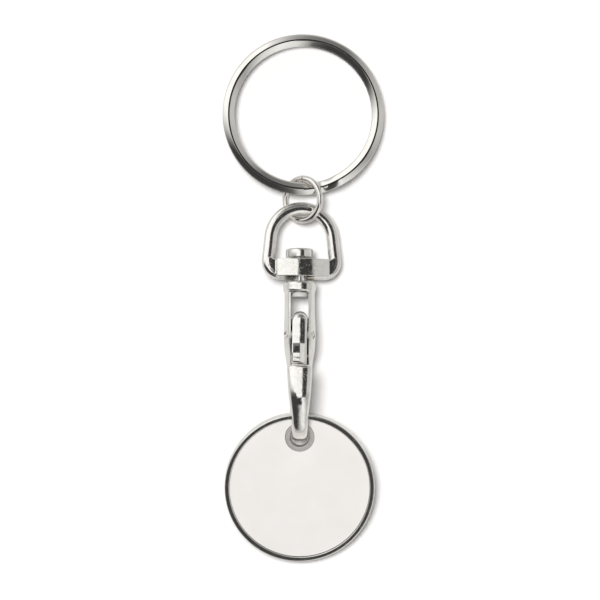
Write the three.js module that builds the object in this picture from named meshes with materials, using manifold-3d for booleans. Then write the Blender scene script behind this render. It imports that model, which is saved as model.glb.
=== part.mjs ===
// A trolley coin keyring: a two-turn split ring, a jump ring, a swivel trigger hook and a coin token.
// Millimetres, +Z up. The keyring lies on z = 0, drawn out along Y, with the split ring towards +Y.
import * as THREE from 'three';
import { mergeVertices } from 'three/addons/utils/BufferGeometryUtils.js';
import Module from 'manifold-3d';

const wasm = await Module();
wasm.setup();

// Shared values.
const fitGap = 0.25;
const bearingGap = 0.3;
const cutOverrun = 1;
const roundFacets = 28;

// Split ring: flat wire that makes nearly two turns, with a crank from one level to the other.
const ringDiameter = 25;
const ringWireWidth = 1.85;
const ringWireThickness = 0.92;
const ringWireEdge = 0.26;
const ringWireCrown = 0.24;
const ringTurnGap = 0.08;
const ringTopEndAngle = -90;
const ringCrankStartAngle = -60;
const ringCrankEndAngle = -76;
const ringLowEndAngle = -54;
const ringStepAngle = 5;
const ringHeading = 21;
const ringNearRise = 1.942;

// Jump ring: round wire bent into a ring whose ends butt, as large as the two links that it holds.
const jumpWire = 1;
const jumpButtGap = 0.12;
const jumpTilt = 34.5;
const jumpLean = 3;
const jumpCentreX = -0.09;
const jumpLoopSlack = 0.43;
const jumpRingSlack = 0.24;
const jumpSteps = 36;
const jumpSides = 10;

// Swivel axis: the line of the rivet, which falls from the hook to the jump ring.
const swivelX = -0.55;
const collarTopY = 2.57;
const collarTopZ = 3.28;

// Swivel loop: a cast stirrup of round limbs, with a barrel-shaped cross bar.
const loopTop = 12.4;
const loopRestHeight = 2.156;
const loopRingGap = 1.03;
const loopLimbWidth = 1.95;
const loopLimbDepth = 1.5;
const loopArchRadius = 4.87;
const loopFlareAngle = 6.5;
const loopCornerRadius = 1.9;
const loopOffCentre = 0.3;
const loopRoll = 9.7;
const loopSteps = 60;
const loopSides = 12;
const loopSectionPower = 2.2;
const barLip = 0.45;
const barHeight = 2.7;
const barHalfLength = 4.1;
const barHalfDepth = 2.55;
const barEndHalfDepth = 1.5;
const barEdgeRound = 0.25;

// Swivel rivet: its head lies on the cross bar and its tail is peened inside the hook's window.
const rivetHeadRadius = 2.15;
const rivetHeadHeight = 1.35;
const rivetHeadRound = 0.45;
const rivetShankRadius = 0.8;
const rivetTailLip = 0.3;
const rivetTailHeight = 0.75;
const rivetTailRound = 0.2;
const rivetTailRadius = rivetShankRadius + rivetTailLip;
const edgeSteps = 3;

// Hook body: a collar on a fork of two cheeks, then a spine that turns through the eye into the claw.
const collarRadius = 2.54;
const collarHeight = 1.4;
const collarRound = 0.45;
const windowRound = 0.5;
const windowThroughDepth = 3.9;
const slotFloorZ = -0.9;
const slotEndGap = 0.2;
const gateRoomLap = 1.65;
const gateRoomSpare = 1.95;
const gateRoomFloorZ = -1.75;
const cheekHalfWidth = 2.35;
const cheekTopHalfDepth = 2.3;
const cheekPivotHalfDepth = 3.05;
const cheekPivotHalfWidth = 2.48;
const hookLength = 24.6;
const eyeRadius = 3.2;
const eyeCentreZ = -0.3;
const eyeWireHalfDepth = 0.75;
const eyeWireHalfWidth = 1.18;
const eyeThinningShare = 0.4;
const spineBulge = 3.7;
const spineHalfDepth = 1.08;
const spineHalfWidth = 1.65;
const clawHalfDepth = 1.12;
const clawHalfWidth = 1.8;
const clawTipRound = 0.9;
// Shares of the claw's round tip: how far out each section lies, and its size.
const clawTipShares = [
  { rise: 0.5, size: 0.96 },
  { rise: 0.85, size: 0.82 },
  { rise: 1, size: 0.55 },
];
const clawBellyShare = 0.45;
const spineMiddleShare = 2 / 3;
const pivotLineShare = 1 / 8;
// Shares of the way from the pivot down to the eye, where the fork narrows into the spine.
const shoulderShares = [
  { reach: 0.16, sink: 0.17, depth: 0.83, width: 1 },
  { reach: 0.29, sink: 0.5, depth: 0.42, width: 0.72 },
  { reach: 0.43, sink: 0.83, depth: 0.13, width: 0.28 },
];
const hookSteps = 64;
const hookSides = 16;
const hookSectionPower = 2.6;
const hookSizeTension = 0.3;
const clawTipSectionPower = 2.4;
const eyeSteps = 12;

// Latch lever, its pin and its spring.
const pivotReach = 8.4;
const pivotZ = 2;
const pinRadius = 0.62;
const pinProud = 0.25;
const pinRound = 0.2;
const leverWidth = 2;
const leverSideGap = 0.35;
const leverTailReach = 4.75;
const leverTailDepth = 2.5;
const leverBackZ = 0.75;
const leverFrontWall = 0.27;
const leverRound = 0.2;
const gateLap = 0.85;
const gateDepth = 1.45;
const gateClawGap = 0.4;
const knobLip = 0.15;
const knobDepth = 1.6;
const knobDrop = 1.4;
const knobLength = 3.05;
const knobClawGap = 0.35;
// Shares of the knob's height out from the lever and of its length up from its lower end.
const knobShares = [
  [0.3, 0.01],
  [0.62, 0.1],
  [0.85, 0.26],
  [0.97, 0.45],
  [0.9, 0.62],
  [0.6, 0.8],
  [0.1, 0.95],
];
const channelWall = 0.3;
const springWire = 0.17;
const springPinGap = 0.14;
const springGap = 0.1;
const springFloorGap = 0.15;
const springStartAngle = -85;
const springEndAngle = 550;
const springGateLegShare = 0.7;
const springStepsPerTurn = 12;
const springSides = 6;

// Coin: a token with a raised rim, a recess with a white inlay on each face and a hole for the hook.
const coinDiameter = 23.25;
const coinThickness = 2.2;
const coinRimWidth = 0.75;
const coinRimRound = 0.35;
const coinRimProud = 0.25;
const coinHoleClearance = 0.69;
const coinHoleEdge = 3.625;
const coinEyeletWall = 0.69;
const coinHoleSlack = 0.1;
const coinFacets = 72;
const inlayThickness = 0.35;
const inlayRimGap = 0.12;

const radians = THREE.MathUtils.degToRad;

// What follows from the sizes above: the links from the hook up to the split ring.
const jumpInnerRadius =
  (loopLimbWidth + ringWireWidth + loopRingGap + jumpLoopSlack + jumpRingSlack) / 2;
const jumpRadius = jumpInnerRadius + jumpWire / 2;
const jumpCentreY = collarTopY + loopTop - loopLimbWidth - jumpLoopSlack + jumpInnerRadius;
const ringNearY = jumpCentreY + jumpInnerRadius - jumpRingSlack - ringWireWidth;
const ringCentreY = ringNearY + ringDiameter / 2;
const ringContactRadius = (ringDiameter - ringWireWidth + ringWireCrown) / 2;
const ringTilt = Math.asin(ringNearRise / 2 / ringContactRadius);
const ringHalfHeight = ringWireThickness + ringTurnGap / 2;
const swivelTilt = Math.asin((collarTopZ - loopRestHeight) / loopTop);

// The rivet between the cross bar and the hook's window.
const loopLow = bearingGap;
const barLow = loopLow + barLip;
const barHigh = barLow + barHeight;
const rivetHeadLow = barHigh + bearingGap;
const windowTop = -collarHeight;
const rivetTailHigh = windowTop - bearingGap;

// The lever with its knob and gate, the spring inside it, and the claw that the gate closes on.
const windowWidth = leverWidth + 2 * leverSideGap;
const knobWidth = leverWidth + 2 * knobLip;
const knobTopReach = pivotReach + knobDrop;
const knobEndReach = knobTopReach + knobLength;
const clawTipReach = knobEndReach + knobClawGap;
const gateEndReach = clawTipReach + gateLap;
const gateFrontZ = leverBackZ + gateDepth;
const clawInnerZ = gateFrontZ + gateClawGap;
const clawTipZ = clawInnerZ + clawHalfDepth;
const slotEnd = knobEndReach + slotEndGap;
const gateRoomStart = slotEnd - gateRoomLap;
const gateRoomEnd = gateEndReach + gateRoomSpare;
const springMeanRadius = pinRadius + springPinGap + springWire / 2;
const channelRadius = springMeanRadius + springWire / 2 + springGap;
const channelWidth = leverWidth - 2 * channelWall;
const leverFrontRadius = channelRadius + leverFrontWall;
const springLength = channelWidth - springWire - 2 * springGap;
const springTurns = (springEndAngle - springStartAngle) / 360;
const springGateLeg = (knobEndReach - pivotReach) * springGateLegShare;
const eyeCentreY = eyeRadius + eyeWireHalfDepth - hookLength;

// The coin, which hangs from the eye and lies with its far edge on the ground.
const coinHoleDiameter = 2 * eyeWireHalfWidth + coinHoleClearance;
const coinEyeletDiameter = coinHoleDiameter + 2 * coinEyeletWall;
const coinHalf = coinThickness / 2;
const inlayFace = coinHalf - coinRimProud;
const coinWebHalf = inlayFace - inlayThickness - fitGap;
const eyeHeight = collarTopZ - eyeCentreY * Math.sin(swivelTilt) + eyeCentreZ * Math.cos(swivelTilt);
const coinHoleOffset = coinDiameter / 2 - coinHoleEdge;
const coinReach = eyeRadius + coinHoleSlack + coinHoleOffset;
const coinEdgeReach = coinReach + coinDiameter / 2 - coinRimRound;
const coinEdgeHalf = coinHalf - coinRimRound;
const coinTilt =
  Math.asin((eyeHeight - coinRimRound) / Math.hypot(coinEdgeReach, coinEdgeHalf)) -
  Math.atan2(coinEdgeHalf, coinEdgeReach);

// Stitches rings of points into one closed skin. A ring turns anticlockwise seen from the ring after it.
function loft(rings, closed) {
  const count = rings[0].length;
  const stretches = closed ? rings.length : rings.length - 1;
  const index = [];
  for (let i = 0; i < stretches; i++) {
    const here = i * count;
    const there = ((i + 1) % rings.length) * count;
    for (let k = 0; k < count; k++) {
      const next = (k + 1) % count;
      index.push(here + k, here + next, there + next);
      index.push(here + k, there + next, there + k);
    }
  }
  if (!closed) {
    const end = (rings.length - 1) * count;
    for (let k = 1; k < count - 1; k++) {
      index.push(0, k + 1, k);
      index.push(end, end + k, end + k + 1);
    }
  }
  const geometry = new THREE.BufferGeometry();
  const numbers = rings.flat().flatMap((point) => [point.x, point.y, point.z]);
  geometry.setAttribute('position', new THREE.Float32BufferAttribute(numbers, 3));
  geometry.setIndex(index);
  return geometry;
}

// Lays a flat section on a path point: across is the first direction of the section.
function ringAt(point, tangent, across, section) {
  const beside = new THREE.Vector3().crossVectors(tangent, across);
  return section.map(([a, b]) => point.clone().addScaledVector(across, a).addScaledVector(beside, b));
}

// A superellipse: power 2 is an ellipse, and more is squarer.
function roundSection(halfA, halfB, sides, power) {
  const bend = (value) => Math.sign(value) * Math.abs(value) ** (2 / power);
  return Array.from({ length: sides }, (_, k) => {
    const angle = (2 * Math.PI * (k + 0.5)) / sides;
    return [halfA * bend(Math.cos(angle)), halfB * bend(Math.sin(angle))];
  });
}

function toSolid(geometry) {
  const bare = geometry.clone();
  bare.deleteAttribute('normal');
  bare.deleteAttribute('uv');
  const merged = mergeVertices(bare);
  return new wasm.Manifold(
    new wasm.Mesh({
      numProp: 3,
      vertProperties: merged.attributes.position.array,
      triVerts: merged.index.array,
    }),
  );
}

function toGeometry(solid) {
  const mesh = solid.getMesh();
  const geometry = new THREE.BufferGeometry();
  geometry.setAttribute('position', new THREE.BufferAttribute(mesh.vertProperties, 3));
  geometry.setIndex(new THREE.BufferAttribute(mesh.triVerts, 1));
  return geometry;
}

// A revolve about Y. The profile has [radius, y] corners and goes anticlockwise, with the axis on its left.
function revolve(profile, facets) {
  return new THREE.LatheGeometry(profile.map(([radius, y]) => new THREE.Vector2(radius, y)), facets);
}

function plug(radius, low, high, facets) {
  return revolve([[0, low], [radius, low], [radius, high], [0, high]], facets);
}

// A plate of a side view drawn in Z and Y, centred on the swivel axis and rounded along its edges.
function sidePlate(points, width, round) {
  const shape = new THREE.Shape(points.map(([z, y]) => new THREE.Vector2(z, y)));
  const geometry = new THREE.ExtrudeGeometry(shape, {
    depth: width - 2 * round,
    bevelThickness: round,
    bevelSize: round,
    bevelOffset: -round,
    bevelSegments: 2,
    curveSegments: 1,
  });
  geometry.translate(0, 0, round - width / 2);
  return geometry.rotateY(-Math.PI / 2);
}

function block(width, lowY, highY, lowZ, highZ) {
  const geometry = new THREE.BoxGeometry(width, highY - lowY, highZ - lowZ);
  return geometry.translate(0, (lowY + highY) / 2, (lowZ + highZ) / 2);
}

// Points of an arc in [z, y], from one angle to another, measured from +Z towards +Y.
function arcPoints(z, y, radius, from, to, steps) {
  return Array.from({ length: steps + 1 }, (_, i) => {
    const angle = radians(from + ((to - from) * i) / steps);
    return [z + radius * Math.cos(angle), y + radius * Math.sin(angle)];
  });
}

const chrome = { color: 0xd4d6d8, metalness: 1, roughness: 0.12 };
const white = { color: 0xf1ede9, metalness: 0, roughness: 0.4 };

function piece(name, geometry, finish) {
  const mesh = new THREE.Mesh(geometry, new THREE.MeshStandardMaterial(finish));
  mesh.name = name;
  return mesh;
}

// The split ring's wire in its own frame: centre at the origin, its two levels above and below z = 0.
function splitRingGeometry() {
  const halfWidth = ringWireWidth / 2;
  const halfThickness = ringWireThickness / 2;
  const section = [
    [halfWidth, -ringWireEdge / 2],
    [halfWidth, ringWireEdge / 2],
    [ringWireCrown / 2, halfThickness],
    [-ringWireCrown / 2, halfThickness],
    [-halfWidth, ringWireEdge / 2],
    [-halfWidth, -ringWireEdge / 2],
    [-ringWireCrown / 2, -halfThickness],
    [ringWireCrown / 2, -halfThickness],
  ];
  const radius = ringDiameter / 2 - halfWidth;
  const level = (ringWireThickness + ringTurnGap) / 2;
  const firstCrank = ringCrankStartAngle - 360;
  const lastCrank = ringCrankEndAngle - 360;
  const lastAngle = ringLowEndAngle - 720;
  const at = (angle) => {
    const fall = THREE.MathUtils.smoothstep(-angle, -firstCrank, -lastCrank);
    const turn = radians(angle);
    return new THREE.Vector3(radius * Math.cos(turn), radius * Math.sin(turn), level * (1 - 2 * fall));
  };
  const steps = Math.round((ringTopEndAngle - lastAngle) / ringStepAngle);
  const rings = [];
  for (let i = 0; i <= steps; i++) {
    const angle = ringTopEndAngle + ((lastAngle - ringTopEndAngle) * i) / steps;
    const tangent = at(angle - 1).sub(at(angle + 1)).normalize();
    const across = new THREE.Vector3(Math.cos(radians(angle)), Math.sin(radians(angle)), 0);
    rings.push(ringAt(at(angle), tangent, across, section));
  }
  return loft(rings, false);
}

function jumpRingGeometry() {
  const halfButt = jumpButtGap / jumpRadius / 2;
  const section = roundSection(jumpWire / 2, jumpWire / 2, jumpSides, 2);
  const rings = [];
  for (let i = 0; i <= jumpSteps; i++) {
    const angle = Math.PI / 2 + halfButt + ((2 * Math.PI - 2 * halfButt) * i) / jumpSteps;
    const across = new THREE.Vector3(Math.cos(angle), Math.sin(angle), 0);
    const tangent = new THREE.Vector3(-Math.sin(angle), Math.cos(angle), 0);
    rings.push(ringAt(across.clone().multiplyScalar(jumpRadius), tangent, across, section));
  }
  return loft(rings, false);
}

// The swivel loop stands in the XY plane of the swivel's frame, with the swivel axis along Y.
function loopGeometry() {
  const flare = radians(loopFlareAngle);
  const archY = loopTop - loopLimbWidth / 2 - loopArchRadius;
  const cornerY = loopLow + loopLimbWidth / 2 + loopCornerRadius;
  const cornerX =
    (loopArchRadius - loopCornerRadius + (archY - cornerY) * Math.sin(flare)) / Math.cos(flare);
  const path = new THREE.Path();
  path.absarc(0, archY, loopArchRadius, flare, Math.PI - flare, false);
  path.absarc(-cornerX, cornerY, loopCornerRadius, Math.PI - flare, 1.5 * Math.PI, false);
  path.absarc(cornerX, cornerY, loopCornerRadius, 1.5 * Math.PI, 2 * Math.PI + flare, false);
  path.closePath();
  const section = roundSection(loopLimbWidth / 2, loopLimbDepth / 2, loopSides, loopSectionPower);
  const rings = [];
  for (let i = 0; i < loopSteps; i++) {
    const place = path.getPointAt(i / loopSteps);
    const heading = path.getTangentAt(i / loopSteps);
    const tangent = new THREE.Vector3(heading.x, heading.y, 0);
    const across = new THREE.Vector3(heading.y, -heading.x, 0);
    rings.push(ringAt(new THREE.Vector3(place.x, place.y, 0), tangent, across, section));
  }
  const frame = loft(rings, true);
  frame.translate(loopOffCentre, 0, 0);

  // The cross bar is a lens in plan: two arcs that bulge to the front and the back.
  const bulge = barHalfDepth - barEndHalfDepth;
  const lensRadius = (barHalfLength ** 2 + bulge ** 2) / (2 * bulge);
  const sweep = Math.asin(barHalfLength / lensRadius);
  const lens = new THREE.Shape();
  const lensCentre = barHalfDepth - lensRadius;
  lens.absarc(0, lensCentre, lensRadius, Math.PI / 2 - sweep, Math.PI / 2 + sweep, false);
  lens.absarc(0, -lensCentre, lensRadius, 1.5 * Math.PI - sweep, 1.5 * Math.PI + sweep, false);
  const bar = new THREE.ExtrudeGeometry(lens, {
    depth: barHeight - 2 * barEdgeRound,
    bevelThickness: barEdgeRound,
    bevelSize: barEdgeRound,
    bevelOffset: -barEdgeRound,
    bevelSegments: 2,
    curveSegments: 12,
  });
  bar.rotateX(-Math.PI / 2).translate(loopOffCentre, barLow + barEdgeRound, 0);
  const bore = plug(rivetShankRadius + fitGap, loopLow - cutOverrun, barHigh + cutOverrun, roundFacets);
  return toGeometry(toSolid(frame).add(toSolid(bar)).subtract(toSolid(bore)));
}

function rivetGeometry() {
  const headTop = rivetHeadLow + rivetHeadHeight;
  const headRoundAt = rivetHeadRadius - rivetHeadRound;
  const tailLow = rivetTailHigh - rivetTailHeight;
  return revolve(
    [
      [0, tailLow],
      [rivetTailRadius - rivetTailRound, tailLow],
      [rivetTailRadius, tailLow + rivetTailRound],
      [rivetTailRadius, rivetTailHigh],
      [rivetShankRadius, rivetTailHigh],
      [rivetShankRadius, rivetHeadLow],
      [rivetHeadRadius, rivetHeadLow],
      ...arcPoints(headRoundAt, headTop - rivetHeadRound, rivetHeadRound, 0, 90, edgeSteps),
      [0, headTop],
    ],
    roundFacets,
  );
}

// The hook's centre line in Y and Z, with the section's half depth and half width at each station.
function hookStations() {
  const mix = THREE.MathUtils.lerp;
  const pivotLineZ = pivotZ * pivotLineShare;
  const stations = [
    { y: -collarHeight / 2, z: 0, depth: cheekTopHalfDepth, width: cheekHalfWidth },
    { y: -pivotReach / 2, z: pivotLineZ / 2, depth: cheekTopHalfDepth, width: cheekHalfWidth },
    { y: -pivotReach, z: pivotLineZ, depth: cheekPivotHalfDepth, width: cheekPivotHalfWidth },
  ];
  for (const share of shoulderShares) {
    stations.push({
      y: mix(-pivotReach, eyeCentreY, share.reach),
      z: mix(pivotLineZ, -spineBulge, share.sink),
      depth: mix(spineHalfDepth, cheekPivotHalfDepth, share.depth),
      width: mix(spineHalfWidth, cheekPivotHalfWidth, share.width),
    });
  }
  const middleY = mix(-pivotReach, eyeCentreY, spineMiddleShare);
  stations.push({ y: middleY, z: -spineBulge, depth: spineHalfDepth, width: spineHalfWidth });
  for (let i = 0; i <= eyeSteps; i++) {
    const angle = (Math.PI * i) / eyeSteps;
    const thinning = Math.sin(angle) ** eyeThinningShare;
    stations.push({
      y: eyeCentreY - eyeRadius * Math.sin(angle),
      z: eyeCentreZ - eyeRadius * Math.cos(angle),
      depth: mix(mix(spineHalfDepth, clawHalfDepth, i / eyeSteps), eyeWireHalfDepth, thinning),
      width: mix(mix(spineHalfWidth, clawHalfWidth, i / eyeSteps), eyeWireHalfWidth, thinning),
    });
  }
  const tipY = -clawTipReach - clawTipRound;
  const clawY = mix(tipY, eyeCentreY, clawBellyShare);
  const clawBelly = (clawHalfDepth - eyeWireHalfDepth) / 2;
  const clawBellyZ = Math.max(clawTipZ, eyeCentreZ + eyeRadius) + clawBelly;
  stations.push({ y: clawY, z: clawBellyZ, depth: clawHalfDepth, width: clawHalfWidth });
  stations.push({ y: tipY, z: clawTipZ, depth: clawHalfDepth, width: clawHalfWidth });
  return stations;
}

function hookGeometry() {
  const stations = hookStations();
  const line = new THREE.CatmullRomCurve3(
    stations.map((s) => new THREE.Vector3(0, s.y, s.z)),
    false,
    'centripetal',
  );
  const sizes = new THREE.CatmullRomCurve3(
    stations.map((s) => new THREE.Vector3(s.width, s.depth, 0)),
    false,
    'catmullrom',
    hookSizeTension,
  );
  const rings = [];
  for (let i = 0; i <= hookSteps; i++) {
    const t = i / hookSteps;
    const tangent = line.getTangent(t);
    const size = sizes.getPoint(t);
    const section = roundSection(size.x, size.y, hookSides, hookSectionPower);
    rings.push(ringAt(line.getPoint(t), tangent, new THREE.Vector3(1, 0, 0), section));
  }
  const tip = line.getPoint(1);
  const out = line.getTangent(1);
  for (const share of clawTipShares) {
    const halfWidth = clawHalfWidth * share.size;
    const halfDepth = clawHalfDepth * share.size;
    const section = roundSection(halfWidth, halfDepth, hookSides, clawTipSectionPower);
    const place = tip.clone().addScaledVector(out, clawTipRound * share.rise);
    rings.push(ringAt(place, out, new THREE.Vector3(1, 0, 0), section));
  }
  const collar = revolve(
    [
      [0, -collarHeight],
      [collarRadius - collarRound / 2, -collarHeight],
      [collarRadius, -collarHeight + collarRound / 2],
      ...arcPoints(collarRadius - collarRound, -collarRound, collarRound, 0, 90, edgeSteps),
      [0, 0],
    ],
    roundFacets,
  );
  const halfWindow = windowWidth / 2;
  const wide = hookLength;
  const through = new THREE.Shape();
  const throughEnd = windowTop - windowThroughDepth;
  const cornerX = halfWindow - windowRound;
  const cornerY = windowTop - windowRound;
  through.moveTo(-halfWindow, throughEnd);
  through.lineTo(halfWindow, throughEnd);
  through.absarc(cornerX, cornerY, windowRound, 0, Math.PI / 2, false);
  through.absarc(-cornerX, cornerY, windowRound, Math.PI / 2, Math.PI, false);
  through.closePath();
  const sides = { depth: wide, bevelEnabled: false, curveSegments: edgeSteps };
  const opening = new THREE.ExtrudeGeometry(through, sides);
  opening.translate(0, 0, -wide / 2);
  const slot = block(windowWidth, -slotEnd, throughEnd + cutOverrun, slotFloorZ, wide / 2);
  const gateRoomTopZ = clawInnerZ - bearingGap;
  const gateRoom = block(windowWidth, -gateRoomEnd, -gateRoomStart, gateRoomFloorZ, gateRoomTopZ);
  const rivetBore = plug(rivetShankRadius + fitGap, windowTop - cutOverrun, cutOverrun, roundFacets);
  const pinBore = plug(pinRadius + fitGap, -wide / 2, wide / 2, roundFacets);
  pinBore.rotateZ(Math.PI / 2).translate(0, -pivotReach, pivotZ);
  const body = toSolid(loft(rings, false)).add(toSolid(collar));
  const cuts = [opening, slot, gateRoom, rivetBore, pinBore].map(toSolid);
  return toGeometry(cuts.reduce((solid, cut) => solid.subtract(cut), body));
}

function pinGeometry() {
  const half = cheekPivotHalfWidth + pinProud;
  const geometry = revolve(
    [
      [0, -half],
      [pinRadius - pinRound, -half],
      [pinRadius, pinRound - half],
      [pinRadius, half - pinRound],
      [pinRadius - pinRound, half],
      [0, half],
    ],
    roundFacets,
  );
  return geometry.rotateZ(Math.PI / 2).translate(0, -pivotReach, pivotZ);
}

// The lever seen from the side: tail, rounded front over the pin, thumb knob and the gate's end.
function leverGeometry() {
  const tailRadius = leverTailDepth / 2;
  const frontZ = pivotZ + leverFrontRadius;
  const arm = sidePlate(
    [
      [leverBackZ, -gateEndReach + leverRound],
      [leverBackZ + leverRound, -gateEndReach],
      [gateFrontZ - leverRound, -gateEndReach],
      [gateFrontZ, -gateEndReach + leverRound],
      [gateFrontZ, -knobEndReach],
      [frontZ - leverRound, -knobEndReach],
      ...arcPoints(pivotZ, -pivotReach, leverFrontRadius, -45, 0, edgeSteps),
      ...arcPoints(leverBackZ + tailRadius, -leverTailReach - tailRadius, tailRadius, 0, 180, 8),
    ],
    leverWidth,
    leverRound,
  );
  const knob = sidePlate(
    [
      [frontZ - knobDepth / 2, -knobEndReach],
      ...knobShares.map(([out, up]) => [frontZ + knobDepth * out, -knobEndReach + knobLength * up]),
      [frontZ - knobDepth / 2, -knobTopReach],
    ],
    knobWidth,
    leverRound,
  );
  const channel = sidePlate(
    [
      [leverBackZ - cutOverrun, -knobEndReach],
      [gateFrontZ - leverRound, -knobEndReach],
      ...arcPoints(pivotZ, -pivotReach, channelRadius, -45, 120, 10),
      [leverBackZ - cutOverrun, -pivotReach + channelRadius],
    ],
    channelWidth,
    0,
  );
  const bore = plug(pinRadius + fitGap, -leverWidth, leverWidth, roundFacets);
  bore.rotateZ(Math.PI / 2).translate(0, -pivotReach, pivotZ);
  const cuts = [channel, bore].map(toSolid);
  return toGeometry(cuts.reduce((solid, cut) => solid.subtract(cut), toSolid(arm).add(toSolid(knob))));
}

// Torsion spring: a helix along the pin with a straight leg at each end.
function springGeometry() {
  const steps = Math.round(springTurns * springStepsPerTurn);
  const startAngle = radians(springStartAngle);
  const points = [];
  for (let i = 0; i <= steps; i++) {
    const angle = startAngle + (2 * Math.PI * springTurns * i) / steps;
    const x = springLength * (i / steps - 1 / 2);
    const y = springMeanRadius * Math.sin(angle);
    points.push(new THREE.Vector3(x, y, springMeanRadius * Math.cos(angle)));
  }
  const heading = (from, before) => from.clone().sub(before).setX(0).normalize();
  const floorWay = heading(points[0], points[1]);
  const floorLegZ = slotFloorZ + springFloorGap + springWire / 2 - pivotZ;
  const floorLeg = (floorLegZ - points[0].z) / floorWay.z;
  const last = points[points.length - 1];
  const gateWay = heading(last, points[points.length - 2]);
  points.unshift(points[0].clone().addScaledVector(floorWay, floorLeg));
  points.push(last.clone().addScaledVector(gateWay, springGateLeg));
  let leastGap = Infinity;
  for (let i = 0; i < points.length; i++) {
    for (let k = i + Math.round(springStepsPerTurn / 2); k < points.length; k++) {
      leastGap = Math.min(leastGap, points[i].distanceTo(points[k]) - springWire);
    }
  }
  console.log(`latch_spring: least gap to itself ${leastGap.toFixed(2)} mm`);
  const section = roundSection(springWire / 2, springWire / 2, springSides, 2);
  const rings = points.map((point, i) => {
    const after = points[Math.min(i + 1, points.length - 1)];
    const before = points[Math.max(i - 1, 0)];
    const tangent = after.clone().sub(before).normalize();
    const across = new THREE.Vector3(1, 0, 0);
    across.addScaledVector(tangent, -across.dot(tangent)).normalize();
    return ringAt(point, tangent, across, section);
  });
  return loft(rings, false).translate(0, -pivotReach, pivotZ);
}

// The coin lies in the XY plane of its own frame, with its centre at the origin and its hole towards +Y.
function coinGeometry() {
  const outer = coinDiameter / 2;
  const inner = outer - coinRimWidth;
  const half = coinHalf;
  const web = coinWebHalf;
  const blank = revolve(
    [
      [0, -web],
      [inner, -web],
      [inner, -half + coinRimRound / 2],
      [inner + coinRimRound / 2, -half],
      ...arcPoints(outer - coinRimRound, -coinEdgeHalf, coinRimRound, -90, 0, edgeSteps),
      ...arcPoints(outer - coinRimRound, coinEdgeHalf, coinRimRound, 0, 90, edgeSteps),
      [inner + coinRimRound / 2, half],
      [inner, half - coinRimRound / 2],
      [inner, web],
      [0, web],
    ],
    coinFacets,
  );
  const eyelet = plug(coinEyeletDiameter / 2, -inlayFace, inlayFace, roundFacets);
  const hole = plug(coinHoleDiameter / 2, -coinThickness, coinThickness, roundFacets);
  const [boss, bore] = [eyelet, hole].map((geometry) => toSolid(geometry.translate(0, 0, coinHoleOffset)));
  return toGeometry(toSolid(blank).add(boss).subtract(bore)).rotateX(-Math.PI / 2);
}

// An inlay for the face on the given side, 1 for the front and -1 for the back.
function inlayGeometry(side) {
  const radius = coinDiameter / 2 - coinRimWidth - inlayRimGap;
  const disc = new THREE.Shape();
  disc.absarc(0, 0, radius, 0, 2 * Math.PI, false);
  const hole = new THREE.Path();
  hole.absarc(0, coinHoleOffset, coinEyeletDiameter / 2 + inlayRimGap, 0, 2 * Math.PI, true);
  disc.holes.push(hole);
  const geometry = new THREE.ExtrudeGeometry(disc, {
    depth: inlayThickness,
    bevelEnabled: false,
    curveSegments: coinFacets / 2,
  });
  const middleZ = inlayFace - inlayThickness / 2;
  return geometry.translate(0, 0, side * middleZ - inlayThickness / 2);
}

const keyring = new THREE.Group();

// The split ring leans on the jump ring and touches the ground at its far side.
const splitRingHeading = new THREE.Group();
const splitRingTilt = new THREE.Group();
const splitRing = piece('split_ring', splitRingGeometry(), chrome);
splitRing.rotation.z = radians(ringHeading);
splitRingTilt.rotation.x = -ringTilt;
splitRingHeading.rotation.z = -radians(ringHeading);
splitRingHeading.position.set(
  0,
  ringCentreY,
  ringContactRadius * Math.sin(ringTilt) + ringHalfHeight * Math.cos(ringTilt),
);
splitRingTilt.add(splitRing);
splitRingHeading.add(splitRingTilt);
keyring.add(splitRingHeading);

const jumpRing = piece('jump_ring', jumpRingGeometry(), chrome);
jumpRing.rotation.set(0, -radians(jumpTilt), -radians(jumpLean), 'ZYX');
jumpRing.position.set(
  jumpCentreX,
  jumpCentreY,
  jumpWire / 2 + jumpRadius * Math.sin(radians(jumpTilt)),
);
keyring.add(jumpRing);

const swivel = new THREE.Group();
swivel.position.set(swivelX, collarTopY, collarTopZ);
swivel.rotation.x = -swivelTilt;
keyring.add(swivel);

const swivelLoop = piece('swivel_loop', loopGeometry(), chrome);
swivelLoop.rotation.y = radians(loopRoll);
swivel.add(swivelLoop);
swivel.add(piece('swivel_rivet', rivetGeometry(), chrome));
swivel.add(piece('hook_body', hookGeometry(), chrome));
swivel.add(piece('latch_lever', leverGeometry(), chrome));
swivel.add(piece('latch_pin', pinGeometry(), chrome));
swivel.add(piece('latch_spring', springGeometry(), chrome));

// The coin swings about the middle of the eye, with the eye's wire square through its hole.
const coinSwing = new THREE.Group();
coinSwing.position.set(0, eyeCentreY, eyeCentreZ);
coinSwing.rotation.x = coinTilt + swivelTilt;
swivel.add(coinSwing);
const coin = new THREE.Group();
coin.position.y = -coinReach;
coinSwing.add(coin);
coin.add(piece('coin_blank', coinGeometry(), chrome));
coin.add(piece('front_inlay', inlayGeometry(1), white));
coin.add(piece('back_inlay', inlayGeometry(-1), white));

// The origin goes to the bottom centre of the whole keyring.
const bounds = new THREE.Box3().setFromObject(keyring, true);
const middle = bounds.getCenter(new THREE.Vector3());
keyring.position.set(-middle.x, -middle.y, -bounds.min.z);

export default keyring;
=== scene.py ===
# %% [markdown]
# # A trolley coin keyring
#
# A split ring carries a small jump ring, the jump ring carries a cast swivel loop, and a rivet
# joins the loop to a trigger hook. The hook holds a chromed coin with a white inlay in each face.
# Nearly everything is polished metal, so the picture is mostly what the metal mirrors: the surfaces
# have to be smooth, and the studio round them has to be built with care.
#
# The mechanical model comes in first. It stays where it is, and each visible piece is built on it.

# %% The frame
import math

import bmesh
import bpy
from mathutils import Matrix, Vector


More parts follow.
